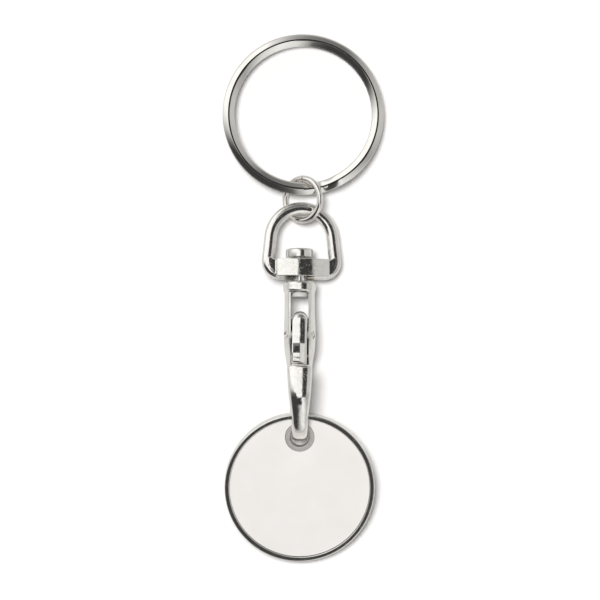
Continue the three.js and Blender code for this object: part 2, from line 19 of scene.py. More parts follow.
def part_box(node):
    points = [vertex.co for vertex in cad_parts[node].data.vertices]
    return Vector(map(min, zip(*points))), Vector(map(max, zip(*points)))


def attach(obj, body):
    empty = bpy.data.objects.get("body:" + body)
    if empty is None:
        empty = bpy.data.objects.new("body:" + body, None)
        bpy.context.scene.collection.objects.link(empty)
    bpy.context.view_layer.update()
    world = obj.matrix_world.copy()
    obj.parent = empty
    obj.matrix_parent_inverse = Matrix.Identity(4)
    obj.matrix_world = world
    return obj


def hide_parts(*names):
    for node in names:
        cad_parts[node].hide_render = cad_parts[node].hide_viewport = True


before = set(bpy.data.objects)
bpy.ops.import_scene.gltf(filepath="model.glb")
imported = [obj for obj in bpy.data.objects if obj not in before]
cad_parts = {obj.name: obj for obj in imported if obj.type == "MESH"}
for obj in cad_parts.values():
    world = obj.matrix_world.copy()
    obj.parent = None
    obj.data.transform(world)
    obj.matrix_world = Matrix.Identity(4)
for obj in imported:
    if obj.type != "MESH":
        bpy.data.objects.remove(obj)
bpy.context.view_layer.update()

# %% [markdown]
# ## Sizes
#
# The pieces are drawn in millimetres and scaled to metres when they are put in place. A size that
# is written once can be changed once. Most sizes are those of the mechanical parts. A few are
# finer, where the photograph shows more than a solid needs, such as the taper of the claw. The
# sizes here are those that say where each group lies. The others stand where they are first used.

# %% Sizes of the rings
MM = 0.001

RING_DIAMETER = 25
RING_WIRE_WIDTH = 1.85
RING_WIRE_THICKNESS = 0.92
RING_WIRE_CROWN = 0.24
RING_TURN_GAP = 0.08
RING_HEADING = 21
RING_NEAR_RISE = 1.942

JUMP_WIRE = 1.0
JUMP_TILT = 34.5
JUMP_LEAN = 3
JUMP_CENTRE_X = -0.09
JUMP_LOOP_SLACK = 0.43
JUMP_RING_SLACK = 0.24

# %% Sizes of the swivel
SWIVEL_X = -0.55
COLLAR_TOP_Y = 2.57
COLLAR_TOP_Z = 3.28
LOOP_TOP = 12.4
LOOP_REST_HEIGHT = 2.156
LOOP_RING_GAP = 1.03
LOOP_LIMB_WIDTH = 1.95
LOOP_ROLL = 9.7

# %% Sizes of the hook and its latch
HOOK_LENGTH = 24.6
EYE_RADIUS = 3.2
EYE_CENTRE_Z = -0.3
EYE_WIRE_HALF_DEPTH = 0.75
PIVOT_REACH = 8.4
PIVOT_Z = 2

# %% Sizes of the coin
COIN_DIAMETER = 23.25
COIN_THICKNESS = 2.2
COIN_RIM_ROUND = 0.35
COIN_HOLE_OFFSET = 8
COIN_HOLE_SLACK = 0.1

# %% [markdown]
# ## Places
#
# Every group of pieces has a place matrix, as the real keyring has a slope here and a turn there
# from lying on a table. The mechanical model shifts everything so that its origin is under the
# middle. The pin's own box shows that shift, so nothing has to be typed twice.

# %% Places
def turned(angle, axis):
    return Matrix.Rotation(angle, 4, axis)


def moved(x, y, z):
    return Matrix.Translation((x, y, z))


swivel_tilt = math.asin((COLLAR_TOP_Z - LOOP_REST_HEIGHT) / LOOP_TOP)
swivel_here = moved(SWIVEL_X, COLLAR_TOP_Y, COLLAR_TOP_Z) @ turned(-swivel_tilt, "X")
pin_low, pin_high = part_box("latch_pin")
pin_seen = (pin_low + pin_high) / (2 * MM)
shift = Matrix.Translation(pin_seen - swivel_here @ Vector((0, -PIVOT_REACH, PIVOT_Z)))

jump_room = LOOP_LIMB_WIDTH + RING_WIRE_WIDTH + LOOP_RING_GAP
jump_inner = (jump_room + JUMP_LOOP_SLACK + JUMP_RING_SLACK) / 2
jump_radius = jump_inner + JUMP_WIRE / 2
jump_y = COLLAR_TOP_Y + LOOP_TOP - LOOP_LIMB_WIDTH - JUMP_LOOP_SLACK + jump_inner
jump_z = JUMP_WIRE / 2 + jump_radius * math.sin(math.radians(JUMP_TILT))

ring_y = jump_y + jump_inner - JUMP_RING_SLACK - RING_WIRE_WIDTH + RING_DIAMETER / 2
ring_contact = (RING_DIAMETER - RING_WIRE_WIDTH + RING_WIRE_CROWN) / 2
ring_tilt = math.asin(RING_NEAR_RISE / 2 / ring_contact)
ring_half_height = RING_WIRE_THICKNESS + RING_TURN_GAP / 2
ring_z = ring_contact * math.sin(ring_tilt) + ring_half_height * math.cos(ring_tilt)

ring_heading = math.radians(RING_HEADING)
ring_place = (
    shift
    @ moved(0, ring_y, ring_z)
    @ turned(-ring_heading, "Z")
    @ turned(-ring_tilt, "X")
    @ turned(ring_heading, "Z")
)
jump_place = (
    shift
    @ moved(JUMP_CENTRE_X, jump_y, jump_z)
    @ turned(-math.radians(JUMP_TILT), "Y")
    @ turned(-math.radians(JUMP_LEAN), "Z")
)
swivel_place = shift @ swivel_here
loop_place = swivel_place @ turned(math.radians(LOOP_ROLL), "Y")

eye_y = EYE_RADIUS + EYE_WIRE_HALF_DEPTH - HOOK_LENGTH
coin_reach = EYE_RADIUS + COIN_HOLE_SLACK + COIN_HOLE_OFFSET
eye_height = COLLAR_TOP_Z - eye_y * math.sin(swivel_tilt) + EYE_CENTRE_Z * math.cos(swivel_tilt)
edge_reach = coin_reach + COIN_DIAMETER / 2 - COIN_RIM_ROUND
edge_half = COIN_THICKNESS / 2 - COIN_RIM_ROUND
coin_tilt = math.asin((eye_height - COIN_RIM_ROUND) / math.hypot(edge_reach, edge_half))
coin_tilt -= math.atan2(edge_half, edge_reach)
coin_place = (
    swivel_place
    @ moved(0, eye_y, EYE_CENTRE_Z)
    @ turned(coin_tilt + swivel_tilt, "X")
    @ moved(0, -coin_reach, 0)
)
print("coin tilt in degrees:", round(math.degrees(coin_tilt), 2))

# %% [markdown]
# ## Node trees written as sums
#
# Both the finishes and the wires are made by nodes. A node tree is easier to read as a formula, so
# a socket is wrapped in a small class whose operators add Math nodes. Every other node comes from
# one method, which takes the node's type, its settings and what goes into its sockets.

# %% A socket that can be added and multiplied
def sum_of(operation):
    return lambda term, value: term.math(operation, term, value)


def turned_sum_of(operation):
    return lambda term, value: term.math(operation, value, term)


class Term:
    def __init__(self, tree, socket):
        self.tree = tree
        self.socket = socket

    def other(self, name):
        return Term(self.tree, self.socket.node.outputs[name])

    def math(self, operation, *values):
        return add(self.tree, "ShaderNodeMath", {"operation": operation}, dict(enumerate(values)))

    __add__ = __radd__ = sum_of("ADD")
    __mul__ = __rmul__ = sum_of("MULTIPLY")
    __sub__, __rsub__ = sum_of("SUBTRACT"), turned_sum_of("SUBTRACT")
    __truediv__, __rtruediv__ = sum_of("DIVIDE"), turned_sum_of("DIVIDE")
    __pow__ = sum_of("POWER")
    least, most = sum_of("MINIMUM"), sum_of("MAXIMUM")

    def size(self):
        return self.math("ABSOLUTE", self)

    def step(self, low, high):
        """0 below low, 1 above high and smooth between them."""
        kind = {"interpolation_type": "SMOOTHSTEP"}
        return add(self.tree, "ShaderNodeMapRange", kind, {0: self, 1: low, 2: high})


def add(tree, kind, settings=None, values=None, out=0):
    """A new node: its settings first, then the value or the link of each socket."""
    node = tree.nodes.new(kind)
    for name, value in (settings or {}).items():
        if name == "stops":
            while len(node.color_ramp.elements) < len(value):
                node.color_ramp.elements.new(1)
            for stop, (place, shade) in zip(node.color_ramp.elements, value):
                stop.position = place
                stop.color = (*shade, 1) if len(shade) == 3 else shade
        else:
            setattr(node, name, value)
    for name, value in (values or {}).items():
        socket = node.inputs[name]
        if isinstance(value, Term):
            tree.links.new(value.socket, socket)
        else:
            socket.default_value = value
    return Term(tree, node.outputs[out]) if node.outputs else node

# %% [markdown]
# ## Finishes
#
# Plated metal looks alive through very small things: the casting under it is a little wavy, the
# polishing leaves faint lines, and dust leaves a few specks. A pattern that is only in the colour
# looks painted, so the waves and lines go into the surface normal and the roughness as well.
# Patterns read Object coordinates, which are turned into millimetres first.

# %% Parts of a finish
def start_finish(name):
    material = bpy.data.materials.new(name + " finish")
    material.use_nodes = True
    tree = material.node_tree
    tree.nodes.clear()
    place = add(tree, "ShaderNodeTexCoord").other("Object")
    return material, tree, vector(tree, "SCALE", place, Scale=1 / MM)


def vector(tree, operation, first, second=None, out=0, **values):
    values = {0: first, **values}
    if second is not None:
        values[1] = second
    return add(tree, "ShaderNodeVectorMath", {"operation": operation}, values, out)


def noise(tree, place, scale, detail=2.0, stretch=None):
    if stretch:
        place = vector(tree, "MULTIPLY", place, stretch)
    values = {"Vector": place, "Scale": scale, "Detail": detail}
    return add(tree, "ShaderNodeTexNoise", None, values)


def blend_colours(tree, share, first, second):
    first, second = [c if isinstance(c, Term) else (*c, 1) for c in (first, second)]
    values = {"Factor": share, "A": first, "B": second}
    return add(tree, "ShaderNodeMix", {"data_type": "RGBA"}, values, out="Result")


def bumped(tree, height, depth):
    return add(tree, "ShaderNodeBump", None, {"Distance": depth * MM, "Height": height})


def finish_surface(tree, values):
    surface = add(tree, "ShaderNodeBsdfPrincipled", None, values)
    add(tree, "ShaderNodeOutputMaterial", None, {"Surface": surface})


def finish_metal(tree, colour, rough, normal, metallic=1.0):
    values = {"Base Color": colour, "Metallic": metallic, "Roughness": rough, "Normal": normal}
    finish_surface(tree, values)

# %% Plated casting
def plated_casting(name, light, dark, rough, wave, grain, metallic=1.0):
    """Bright plating over a cast body: soft waves, fine grain, polishing lines and a few specks."""
    material, tree, place = start_finish(name)
    waves = noise(tree, place, 0.55, 2.0)
    lines = noise(tree, place, 1.0, 3.0, (9.0, 1.1, 5.0))
    specks = noise(tree, place, 4.5, 1.5).step(0.62, 0.72)
    tone = noise(tree, place, 0.8, 3.0).step(0.35, 0.75)
    colour = blend_colours(tree, (tone * 0.6 + specks * 0.6).least(1.0), light, dark)
    roughness = rough + lines.step(0.45, 0.8) * 0.035 + specks * 0.2
    height = waves * wave + noise(tree, place, 2.6, 2.0) * grain + lines * 0.018 - specks * 0.1
    finish_metal(tree, colour, roughness, bumped(tree, height, 0.05), metallic)
    return material


WARM_LIGHT, WARM_DARK = (0.885, 0.868, 0.835), (0.76, 0.74, 0.7)
hook_plating = plated_casting("hook_plating", WARM_LIGHT, WARM_DARK, 0.035, 0.5, 0.16)
satin_plating = plated_casting(
    "hook_plating satin", (0.82, 0.805, 0.78), (0.74, 0.72, 0.69), 0.4, 0.3, 0.2
)
blasted_plating = plated_casting(
    "hook_plating blasted", (0.84, 0.83, 0.8), (0.78, 0.76, 0.73), 0.55, 0.3, 0.2, 0.25
)
print("finish:", hook_plating.name, len(hook_plating.node_tree.nodes), "nodes")

# %% Drawn wire
def drawn_wire(name, light, dark, rough, seam=0.0):
    """Wire pulled through a die: its lines run along it, by the wire's own attributes.

    The seam is a painted shade line in the groove of a split ring, a quarter and three quarters
    round.
    """
    material, tree, place = start_finish(name)
    along = add(tree, "ShaderNodeAttribute", {"attribute_name": "along"}).other("Fac")
    around = add(tree, "ShaderNodeAttribute", {"attribute_name": "around"}).other("Fac")
    strip = add(tree, "ShaderNodeCombineXYZ", None, {"X": along * 0.12, "Y": around * 5.0})
    lines = noise(tree, strip, 4.0, 3.0)
    tone = noise(tree, place, 0.5, 3.0).step(0.35, 0.75)
    scuffs = noise(tree, place, 1.6, 4.0, (1.0, 1.0, 3.0)).step(0.62, 0.8)
    colour = blend_colours(tree, (tone * 0.5 + lines * 0.4).least(1.0), light, dark)
    # Painted shade: the colour goes near black along the groove at the crest.
    crest = 1 - ((around - 0.5).size() - 0.25).size().step(0.037, 0.05)
    colour = blend_colours(tree, crest * seam, colour, (0.03, 0.029, 0.026))
    roughness = rough + lines.step(0.4, 0.8) * 0.05 + scuffs * 0.08
    finish_metal(tree, colour, roughness, bumped(tree, lines * 0.05 + scuffs * 0.03, 0.05))
    return material


WIRE_DARK = (0.78, 0.76, 0.72)
ring_wire = drawn_wire("ring_wire", WARM_LIGHT, WIRE_DARK, 0.05)
# The split ring's wire, with a painted shade line along its groove.
painted_groove_wire = drawn_wire("ring_wire painted groove shade", WARM_LIGHT, WIRE_DARK, 0.05, 1.0)
spring_wire = drawn_wire("spring_wire", (0.62, 0.61, 0.6), (0.45, 0.44, 0.43), 0.2)
print("wire finishes:", [m.name for m in (ring_wire, painted_groove_wire, spring_wire)])

# %% The coin's plating and its white inlay
def struck_plating(name, light, dark, rough, metallic=1.0):
    """The coin's blank is turned, so its faint lines run round its middle."""
    material, tree, place = start_finish(name)
    from_middle = vector(tree, "SUBTRACT", place, coin_place.translation)
    reach = vector(tree, "LENGTH", from_middle, out="Value")
    rows = add(tree, "ShaderNodeCombineXYZ", None, {"X": reach * 9.0})
    lines = noise(tree, rows, 1.0, 2.0)
    wear = noise(tree, place, 1.3, 4.0).step(0.5, 0.75)
    colour = blend_colours(tree, wear * 0.7, light, dark)
    roughness = rough + lines * 0.05 + wear * 0.06
    normal = bumped(tree, lines * 0.06 + wear * 0.1, 0.04)
    finish_metal(tree, colour, roughness, normal, metallic)
    return material


def glazed_inlay(name, light, dark):
    """A smooth white disc with a thin gloss, slightly uneven as poured enamel is."""
    material, tree, place = start_finish(name)
    cloud = noise(tree, place, 0.22, 2.0).step(0.3, 0.7)
    grain = noise(tree, place, 9.0, 2.0)
    colour = blend_colours(tree, cloud * 0.6 + grain * 0.3, light, dark)
    values = {
        "Base Color": colour,
        "Roughness": 0.3 + grain * 0.12,
        "Normal": bumped(tree, cloud + grain * 0.15, 0.01),
        "Coat Weight": 0.25 + cloud * 0.1,
        "Coat Roughness": 0.12,
        "Specular IOR Level": 0.35,
    }
    finish_surface(tree, values)
    return material


coin_plating = struck_plating("coin_plating", (0.84, 0.825, 0.79), (0.68, 0.66, 0.62), 0.06)
# The eyelet has a rougher satin finish, and its colour is darker than the rim's as painted shade.
eyelet_satin_painted_shade = struck_plating(
    "coin_plating satin painted shade", (0.6, 0.58, 0.56), (0.47, 0.455, 0.43), 0.3, 0.55
)
white_inlay = glazed_inlay("white_inlay", (0.885, 0.858, 0.83), (0.85, 0.82, 0.79))
print("finishes:", [m.name for m in bpy.data.materials])

# %% [markdown]
# ## From a drawing to a piece
#
# A piece is drawn in millimetres about its own middle, given its modifiers, and then turned into a
# plain mesh in the place that it has on the keyring. Its object stays at the origin, unturned, so
# that patterns on Object coordinates hold still when the piece moves.

# %% Making a piece
def drawn(name, points, faces):
    mesh = bpy.data.meshes.new(name)
    mesh.from_pydata([tuple(p) for p in points], [], faces)
    work = bmesh.new()
    work.from_mesh(mesh)
    bmesh.ops.recalc_face_normals(work, faces=work.faces)
    work.to_mesh(mesh)
    work.free()
    obj = bpy.data.objects.new(name, mesh)
    bpy.context.scene.collection.objects.link(obj)
    return obj


def baked(obj):
    """The plain mesh of an object with its modifiers applied."""
    graph = bpy.context.evaluated_depsgraph_get()
    mesh = bpy.data.meshes.new_from_object(obj.evaluated_get(graph))
    bpy.data.objects.remove(obj)
    return mesh


def modify(obj, kind, **settings):
    modifier = obj.modifiers.new(kind.lower(), kind)
    for name, value in settings.items():
        setattr(modifier, name, value)
    return modifier


def turned_skin(obj):
    """The mesh of a piece from a lathe, whose flats stay flat beside their rounded edges."""
    modify(obj, "WEIGHTED_NORMAL", keep_sharp=True)
    return baked(obj)


def seat(name, mesh, place, finish, body, node):
    """Puts a finished mesh on the keyring, where it takes the place of a plain part."""
    mesh.transform(Matrix.Scale(MM, 4) @ place)
    mesh.shade_smooth()
    mesh.materials.clear()
    mesh.materials.append(finish)
    piece = bpy.data.objects.new(name, mesh)
    bpy.context.scene.collection.objects.link(piece)
    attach(piece, body)
    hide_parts(node)
    print(name, len(mesh.polygons), "faces")
    return piece

# %% [markdown]
# ## Wires
#
# The split ring, the jump ring and the spring are each one wire bent along a rule, so one node tree
# makes all three. It starts from a straight line of points, and each point's share of the way gives
# its angle, its height and, past the ends of the bend, how far it runs out along a straight leg.
#
# - The split ring makes almost two turns, and a short crank drops it from the upper level to the
#   lower one. Its section is a low roof with a fine groove along the crest, and a painted shade
#   line darkens the groove, so its top shows a thin line between two bands.
# - The jump ring is round wire with its ends butted.
# - The spring is round wire with two legs.

# %% What a wire is given
WIRE_INPUTS = {
    "Steps": 200,
    "Radius": 10.0,
    "Start": 0.0,
    "Sweep": 6.0,
    "Advance": 0.0,
    "Level": 0.0,
    "Crank Start": 0.4,
    "Crank End": 0.6,
    "First Leg": 0.0,
    "Last Leg": 0.0,
    "Half Width": 0.5,
    "Half Thickness": 0.5,
    "Section Power": 2.0,
    "Seam Depth": 0.0,
    "Seam Half Width": 0.1,
    "Section Points": 32,
    "Finish": None,
}
SOCKETS = {int: "NodeSocketInt", float: "NodeSocketFloat", type(None): "NodeSocketMaterial"}


def new_tree(name, inputs):
    tree = bpy.data.node_groups.new(name, "GeometryNodeTree")
    for title, value in inputs.items():
        kind = SOCKETS[type(value)]
        socket = tree.interface.new_socket(title, in_out="INPUT", socket_type=kind)
        if value is not None:
            socket.default_value = value
    tree.interface.new_socket("Geometry", in_out="OUTPUT", socket_type="NodeSocketGeometry")
    entry = tree.nodes.new("NodeGroupInput")
    return tree, {title: Term(tree, entry.outputs[title]) for title in inputs}

# %% The bending rule
def signed_power(value, power):
    return value.math("SIGN", value) * value.size() ** power


def placed_points(tree, points, spot, title, value):
    """Points moved to where the sums say, with a number stored on each under a title."""
    spot = add(tree, "ShaderNodeCombineXYZ", None, spot)
    points = add(tree, "GeometryNodeSetPosition", None, {"Geometry": points, "Position": spot})
    kind = {"data_type": "FLOAT", "domain": "POINT"}
    values = {"Geometry": points, "Name": title, "Value": value}
    return add(tree, "GeometryNodeStoreNamedAttribute", kind, values)


def wire_tree():
    tree, given = new_tree("bent wire", WIRE_INPUTS)
    share = add(tree, "GeometryNodeInputIndex") / (given["Steps"] - 1)
    legs = (given["First Leg"].step(0, 0.001), given["Last Leg"].step(0, 0.001))
    run = share * (1 + legs[0] + legs[1]) - legs[0]
    bend = run.most(0).least(1)
    angle = given["Start"] + bend * given["Sweep"]
    cosine, sine = angle.math("COSINE", angle), angle.math("SINE", angle)
    out = run.least(0) * given["First Leg"] + (run - 1).most(0) * given["Last Leg"]
    way = signed_power(given["Sweep"], 0)
    fall = bend.step(given["Crank Start"], given["Crank End"])
    spot = {
        "X": given["Radius"] * cosine - out * way * sine,
        "Y": given["Radius"] * sine + out * way * cosine,
        "Z": given["Level"] * (1 - fall * 2) + given["Advance"] * (bend - 0.5),
    }
    line = add(tree, "GeometryNodeMeshLine", {"mode": "OFFSET"}, {"Count": given["Steps"]})
    length = bend * given["Sweep"].size() * given["Radius"]
    path = placed_points(tree, line, spot, "along", length)
    path = add(tree, "GeometryNodeMeshToCurve", None, {"Mesh": path})
    path = add(tree, "GeometryNodeSetCurveNormal", {"mode": "Z_UP"}, {"Curve": path})

    around = add(tree, "GeometryNodeInputIndex") / given["Section Points"]
    turn = around * math.tau
    power = 2 / given["Section Power"]
    wide = given["Half Width"] * signed_power(turn.math("COSINE", turn), power)
    high = given["Half Thickness"] * signed_power(turn.math("SINE", turn), power)
    seam = (1 - wide.size() / given["Seam Half Width"]).most(0) * given["Seam Depth"]
    flat = {"X": wide, "Y": high - seam * high.math("SIGN", high)}
    count = {"Resolution": given["Section Points"]}
    ring = add(tree, "GeometryNodeCurvePrimitiveCircle", {"mode": "RADIUS"}, count)
    section = placed_points(tree, ring, flat, "around", around)
    values = {"Curve": path, "Profile Curve": section, "Fill Caps": True}
    wire = add(tree, "GeometryNodeCurveToMesh", None, values)
    wire = add(tree, "GeometryNodeRealizeInstances", None, {"Geometry": wire})
    values = {"Geometry": wire, "Material": given["Finish"]}
    wire = add(tree, "GeometryNodeSetMaterial", None, values)
    leave = tree.nodes.new("NodeGroupOutput")
    tree.links.new(wire.socket, leave.inputs["Geometry"])
    return tree


bent_wire = wire_tree()
print("bent wire:", len(bent_wire.nodes), "nodes")

# %% A wire from its sizes
def make_wire(name, place, finish, body, end_round, **sizes):
    obj = bpy.data.objects.new(name, bpy.data.meshes.new(name))
    bpy.context.scene.collection.objects.link(obj)
    modifier = obj.modifiers.new("bend", "NODES")
    modifier.node_group = bent_wire
    given = {title.replace(" ", "_").lower(): title for title in WIRE_INPUTS}
    ids = {item.name: item.identifier for item in bent_wire.interface.items_tree}
    for key, value in {**sizes, "finish": finish}.items():
        modifier[ids[given[key]]] = value
    modify(obj, "WELD", merge_threshold=1e-4)
    modify(obj, "BEVEL", width=end_round, segments=3, limit_method="ANGLE", angle_limit=1.0)
    return seat(name + "_wire", baked(obj), place, finish, body, name)

# %% The split ring
RING_TOP_END = -90
RING_CRANK = (-420, -436)
RING_LOW_END = -774
RING_SECTION_POWER = 1.22
RING_GROOVE_DEPTH = 0.05
RING_GROOVE_HALF_WIDTH = 0.066
RING_END_ROUND = 0.1


def crank_share(angle):
    return (RING_TOP_END - angle) / (RING_TOP_END - RING_LOW_END)


make_wire(
    "split_ring",
    ring_place,
    painted_groove_wire,
    "ring",
    RING_END_ROUND,
    steps=720,
    radius=(RING_DIAMETER - RING_WIRE_WIDTH) / 2,
    start=math.radians(RING_TOP_END),
    sweep=math.radians(RING_LOW_END - RING_TOP_END),
    level=(RING_WIRE_THICKNESS + RING_TURN_GAP) / 2,
    crank_start=crank_share(RING_CRANK[0]),
    crank_end=crank_share(RING_CRANK[1]),
    half_width=RING_WIRE_WIDTH / 2,
    half_thickness=RING_WIRE_THICKNESS / 2,
    section_power=RING_SECTION_POWER,
    section_points=64,
    seam_depth=RING_GROOVE_DEPTH,
    seam_half_width=RING_GROOVE_HALF_WIDTH,
)

# %% The jump ring
JUMP_WIRE_EASE = 0.02
JUMP_END_ROUND = 0.06
JUMP_BUTT_GAP = 0.12
butt = JUMP_BUTT_GAP / jump_radius
make_wire(
    "jump_ring",
    jump_place,
    ring_wire,
    "link",
    JUMP_END_ROUND,
    steps=240,
    radius=jump_radius,
    start=math.pi / 2 + butt / 2,
    sweep=math.tau - butt,
    half_width=JUMP_WIRE / 2 - JUMP_WIRE_EASE,
    half_thickness=JUMP_WIRE / 2 - JUMP_WIRE_EASE,
    section_points=40,
)

# %% The latch spring
SLOT_FLOOR_Z = -0.9
KNOB_DROP = 1.4
KNOB_LENGTH = 3.05
SPRING_WIRE = 0.17
SPRING_MEAN_RADIUS = 0.845
SPRING_LENGTH = 1.03
SPRING_ANGLES = (-85, 550)
SPRING_FLOOR_GAP = 0.15
SPRING_LAST_LEG = 0.5
SPRING_END_ROUND = 0.02

# The bending rule turns about Z, and the spring turns about the pin, from Z towards Y. So its own
# frame has X along the pin's Z, Y along the pin's Y, and its advance along the pin itself.
pin_place = swivel_place @ moved(0, -PIVOT_REACH, PIVOT_Z)
spring_place = pin_place @ turned(-math.pi / 2, "Y") @ Matrix.Scale(-1, 4, (0, 0, 1))
knob_top_reach = PIVOT_REACH + KNOB_DROP
knob_end_reach = knob_top_reach + KNOB_LENGTH
first_angle, last_angle = (math.radians(a) for a in SPRING_ANGLES)
floor_drop = SPRING_MEAN_RADIUS * math.cos(first_angle) + PIVOT_Z - SLOT_FLOOR_Z
floor_leg = (floor_drop - SPRING_FLOOR_GAP - SPRING_WIRE / 2) / -math.sin(first_angle)
make_wire(
    "latch_spring",
    spring_place,
    spring_wire,
    "hook",
    SPRING_END_ROUND,
    steps=300,
    radius=SPRING_MEAN_RADIUS,
    start=first_angle,
    sweep=last_angle - first_angle,
    advance=SPRING_LENGTH,
    first_leg=floor_leg,
    last_leg=SPRING_LAST_LEG,
    half_width=SPRING_WIRE / 2,
    half_thickness=SPRING_WIRE / 2,
    section_points=12,
)

# %% [markdown]
# ## Castings
#
# The loop, the hook and the lever are cast and tumbled, so their edges are soft all over, inside
# corners too. A bevel would need clean edges, and cut shapes have none. So each one is joined and
# cut as sharp solids, remade as an even skin of tiny faces, and smoothed a little. That rounds
# every edge by about the same amount, as tumbling does.

# %% Sections and lofts
def round_section(half_a, half_b, sides, power):
    """A superellipse: power 2 is an ellipse, and more is squarer."""
    def bend(value):
        return math.copysign(abs(value) ** (2 / power), value)

    turns = [math.tau * (k + 0.5) / sides for k in range(sides)]
    return [(half_a * bend(math.cos(t)), half_b * bend(math.sin(t))) for t in turns]


def ring_at(point, tangent, across, section):
    beside = tangent.cross(across)
    return [point + across * a + beside * b for a, b in section]


def loft(name, rings, closed=False):
    sides = len(rings[0])
    points = [p for ring in rings for p in ring]
    faces = []
    for i in range(len(rings) if closed else len(rings) - 1):
        here, there = i * sides, (i + 1) % len(rings) * sides
        for k in range(sides):
            faces.append((here + k, here + (k + 1) % sides, there + (k + 1) % sides, there + k))
    if not closed:
        last = (len(rings) - 1) * sides
        faces.append(tuple(reversed(range(sides))))
        faces.append(tuple(range(last, last + sides)))
    return drawn(name, points, faces)


def prism(name, outline, low, high, axis):
    """A flat outline pushed out along an axis. The outline is in the other two axes, in order."""
    def point(a, b, c):
        return {"X": (c, a, b), "Y": (a, c, b), "Z": (a, b, c)}[axis]

    count = len(outline)
    points = [point(a, b, end) for end in (low, high) for a, b in outline]
    faces = [(k, (k + 1) % count, (k + 1) % count + count, k + count) for k in range(count)]
    faces += [tuple(range(count)), tuple(range(count, 2 * count))]
    return drawn(name, points, faces)


def block(name, width, low_y, high_y, low_z, high_z):
    half = width / 2
    outline = [(low_y, low_z), (high_y, low_z), (high_y, high_z), (low_y, high_z)]
    return prism(name, outline, -half, half, "X")

# %% Arcs and turned pieces
def arc(a, b, radius, start, end, steps):
    """Points of an arc, with angles in degrees from the first axis towards the second."""
    angles = [math.radians(start + (end - start) * i / steps) for i in range(steps + 1)]
    return [(a + radius * math.cos(t), b + radius * math.sin(t)) for t in angles]


def circle(radius, count, a=0, b=0):
    """The corners of a circle about a middle, each given once."""
    return [(c + a, d + b) for c, d in arc(0, 0, radius, 0, 360 - 360 / count, count - 1)]


def revolve(name, profile, facets=96):
    """A turned piece about Y. The profile's (radius, y) corners start and end on the axis."""
    rims = [p for p in profile if p[0] > 0]
    points = [(0, profile[0][1], 0), (0, profile[-1][1], 0)]
    for radius, y in rims:
        for k in range(facets):
            turn = math.tau * k / facets
            points.append((radius * math.cos(turn), y, radius * math.sin(turn)))
    faces = []
    for k in range(facets):
        step = (k + 1) % facets
        faces.append((0, 2 + k, 2 + step))
        last = 2 + (len(rims) - 1) * facets
        faces.append((1, last + step, last + k))
        for i in range(len(rims) - 1):
            here, there = 2 + i * facets, 2 + (i + 1) * facets
            faces.append((here + k, there + k, there + step, here + step))
    return drawn(name, points, faces)

# %% Joining, cutting and tumbling
# The grain is how finely a casting is remade. The lever is the smallest and has the finest grain.
LOOP_GRAIN, HOOK_GRAIN, LEVER_GRAIN = 0.07, 0.088, 0.05
CASTING_ROUNDS, LEVER_ROUNDS = 4, 6


def cut_and_join(body, joined=(), cut=()):
    for tool, operation in [(t, "UNION") for t in joined] + [(t, "DIFFERENCE") for t in cut]:
        modify(body, "BOOLEAN", object=tool, operation=operation, solver="EXACT")
    mesh = baked(body)
    for tool in (*joined, *cut):
        bpy.data.objects.remove(tool)
    obj = bpy.data.objects.new("joined", mesh)
    bpy.context.scene.collection.objects.link(obj)
    return obj


def tumbled(obj, grain, rounds):
    """An even skin of faces about one grain wide, smoothed the given number of rounds."""
    modify(obj, "REMESH", mode="VOXEL", voxel_size=grain)
    modify(obj, "SMOOTH", factor=0.5, iterations=rounds)
    return baked(obj)

# %% [markdown]
# ## The swivel loop
#
# A stirrup of nearly round section, wider at its foot, with a barrel-shaped cross bar that the
# rivet turns in. The foot runs on below the bar as a thin lip, and thin webs join the bar's ends
# to the limbs.

# %% The line of the loop
BEARING_GAP = 0.3
LOOP_ARCH_RADIUS = 4.87
LOOP_FLARE = math.radians(6.5)
LOOP_CORNER_RADIUS = 1.9
BAR_LIP = 0.45
BAR_HEIGHT = 2.7
RIVET_TAIL_GAP = 0.08
COLLAR_HEIGHT = 1.62
loop_low = BEARING_GAP
bar_low = loop_low + BAR_LIP
bar_high = bar_low + BAR_HEIGHT
rivet_head_low = bar_high + BEARING_GAP
window_top = -COLLAR_HEIGHT
rivet_tail_high = window_top - RIVET_TAIL_GAP


def loop_line(steps):
    """Points round the stirrup: a wide arch and two small corners, joined by straights."""
    arch_y = LOOP_TOP - LOOP_LIMB_WIDTH / 2 - LOOP_ARCH_RADIUS
    corner_y = loop_low + LOOP_LIMB_WIDTH / 2 + LOOP_CORNER_RADIUS
    corner_x = LOOP_ARCH_RADIUS - LOOP_CORNER_RADIUS + (arch_y - corner_y) * math.sin(LOOP_FLARE)
    corner_x /= math.cos(LOOP_FLARE)
    flare = math.degrees(LOOP_FLARE)
    outline = arc(0, arch_y, LOOP_ARCH_RADIUS, flare, 180 - flare, 120)
    outline += arc(-corner_x, corner_y, LOOP_CORNER_RADIUS, 180 - flare, 270, 60)
    outline += arc(corner_x, corner_y, LOOP_CORNER_RADIUS, 270, 360 + flare, 60)
    line = [Vector((x, y, 0)) for x, y in outline]
    line.append(line[0])
    reach = [0.0]
    for a, b in zip(line, line[1:]):
        reach.append(reach[-1] + (b - a).length)
    spots = []
    for i in range(steps):
        wanted = reach[-1] * i / steps
        k = max(n for n in range(len(line) - 1) if reach[n] <= wanted)
        share = (wanted - reach[k]) / (reach[k + 1] - reach[k])
        spots.append(line[k].lerp(line[k + 1], share))
    return spots

# %% The loop's casting
FIT_GAP = 0.25
LOOP_LIMB_DEPTH = 1.5
LOOP_OFF_CENTRE = 0.3
LOOP_SECTION_POWER = 2.2
BAR_HALF_LENGTH = 4.1
BAR_HALF_DEPTH = 2.55
BAR_END_HALF_DEPTH = 1.5
WEB_HALF_DEPTH = 0.77
WEB_INSET = 0.2
WEB_RISE = 0.45
RIVET_SHANK_RADIUS = 0.8


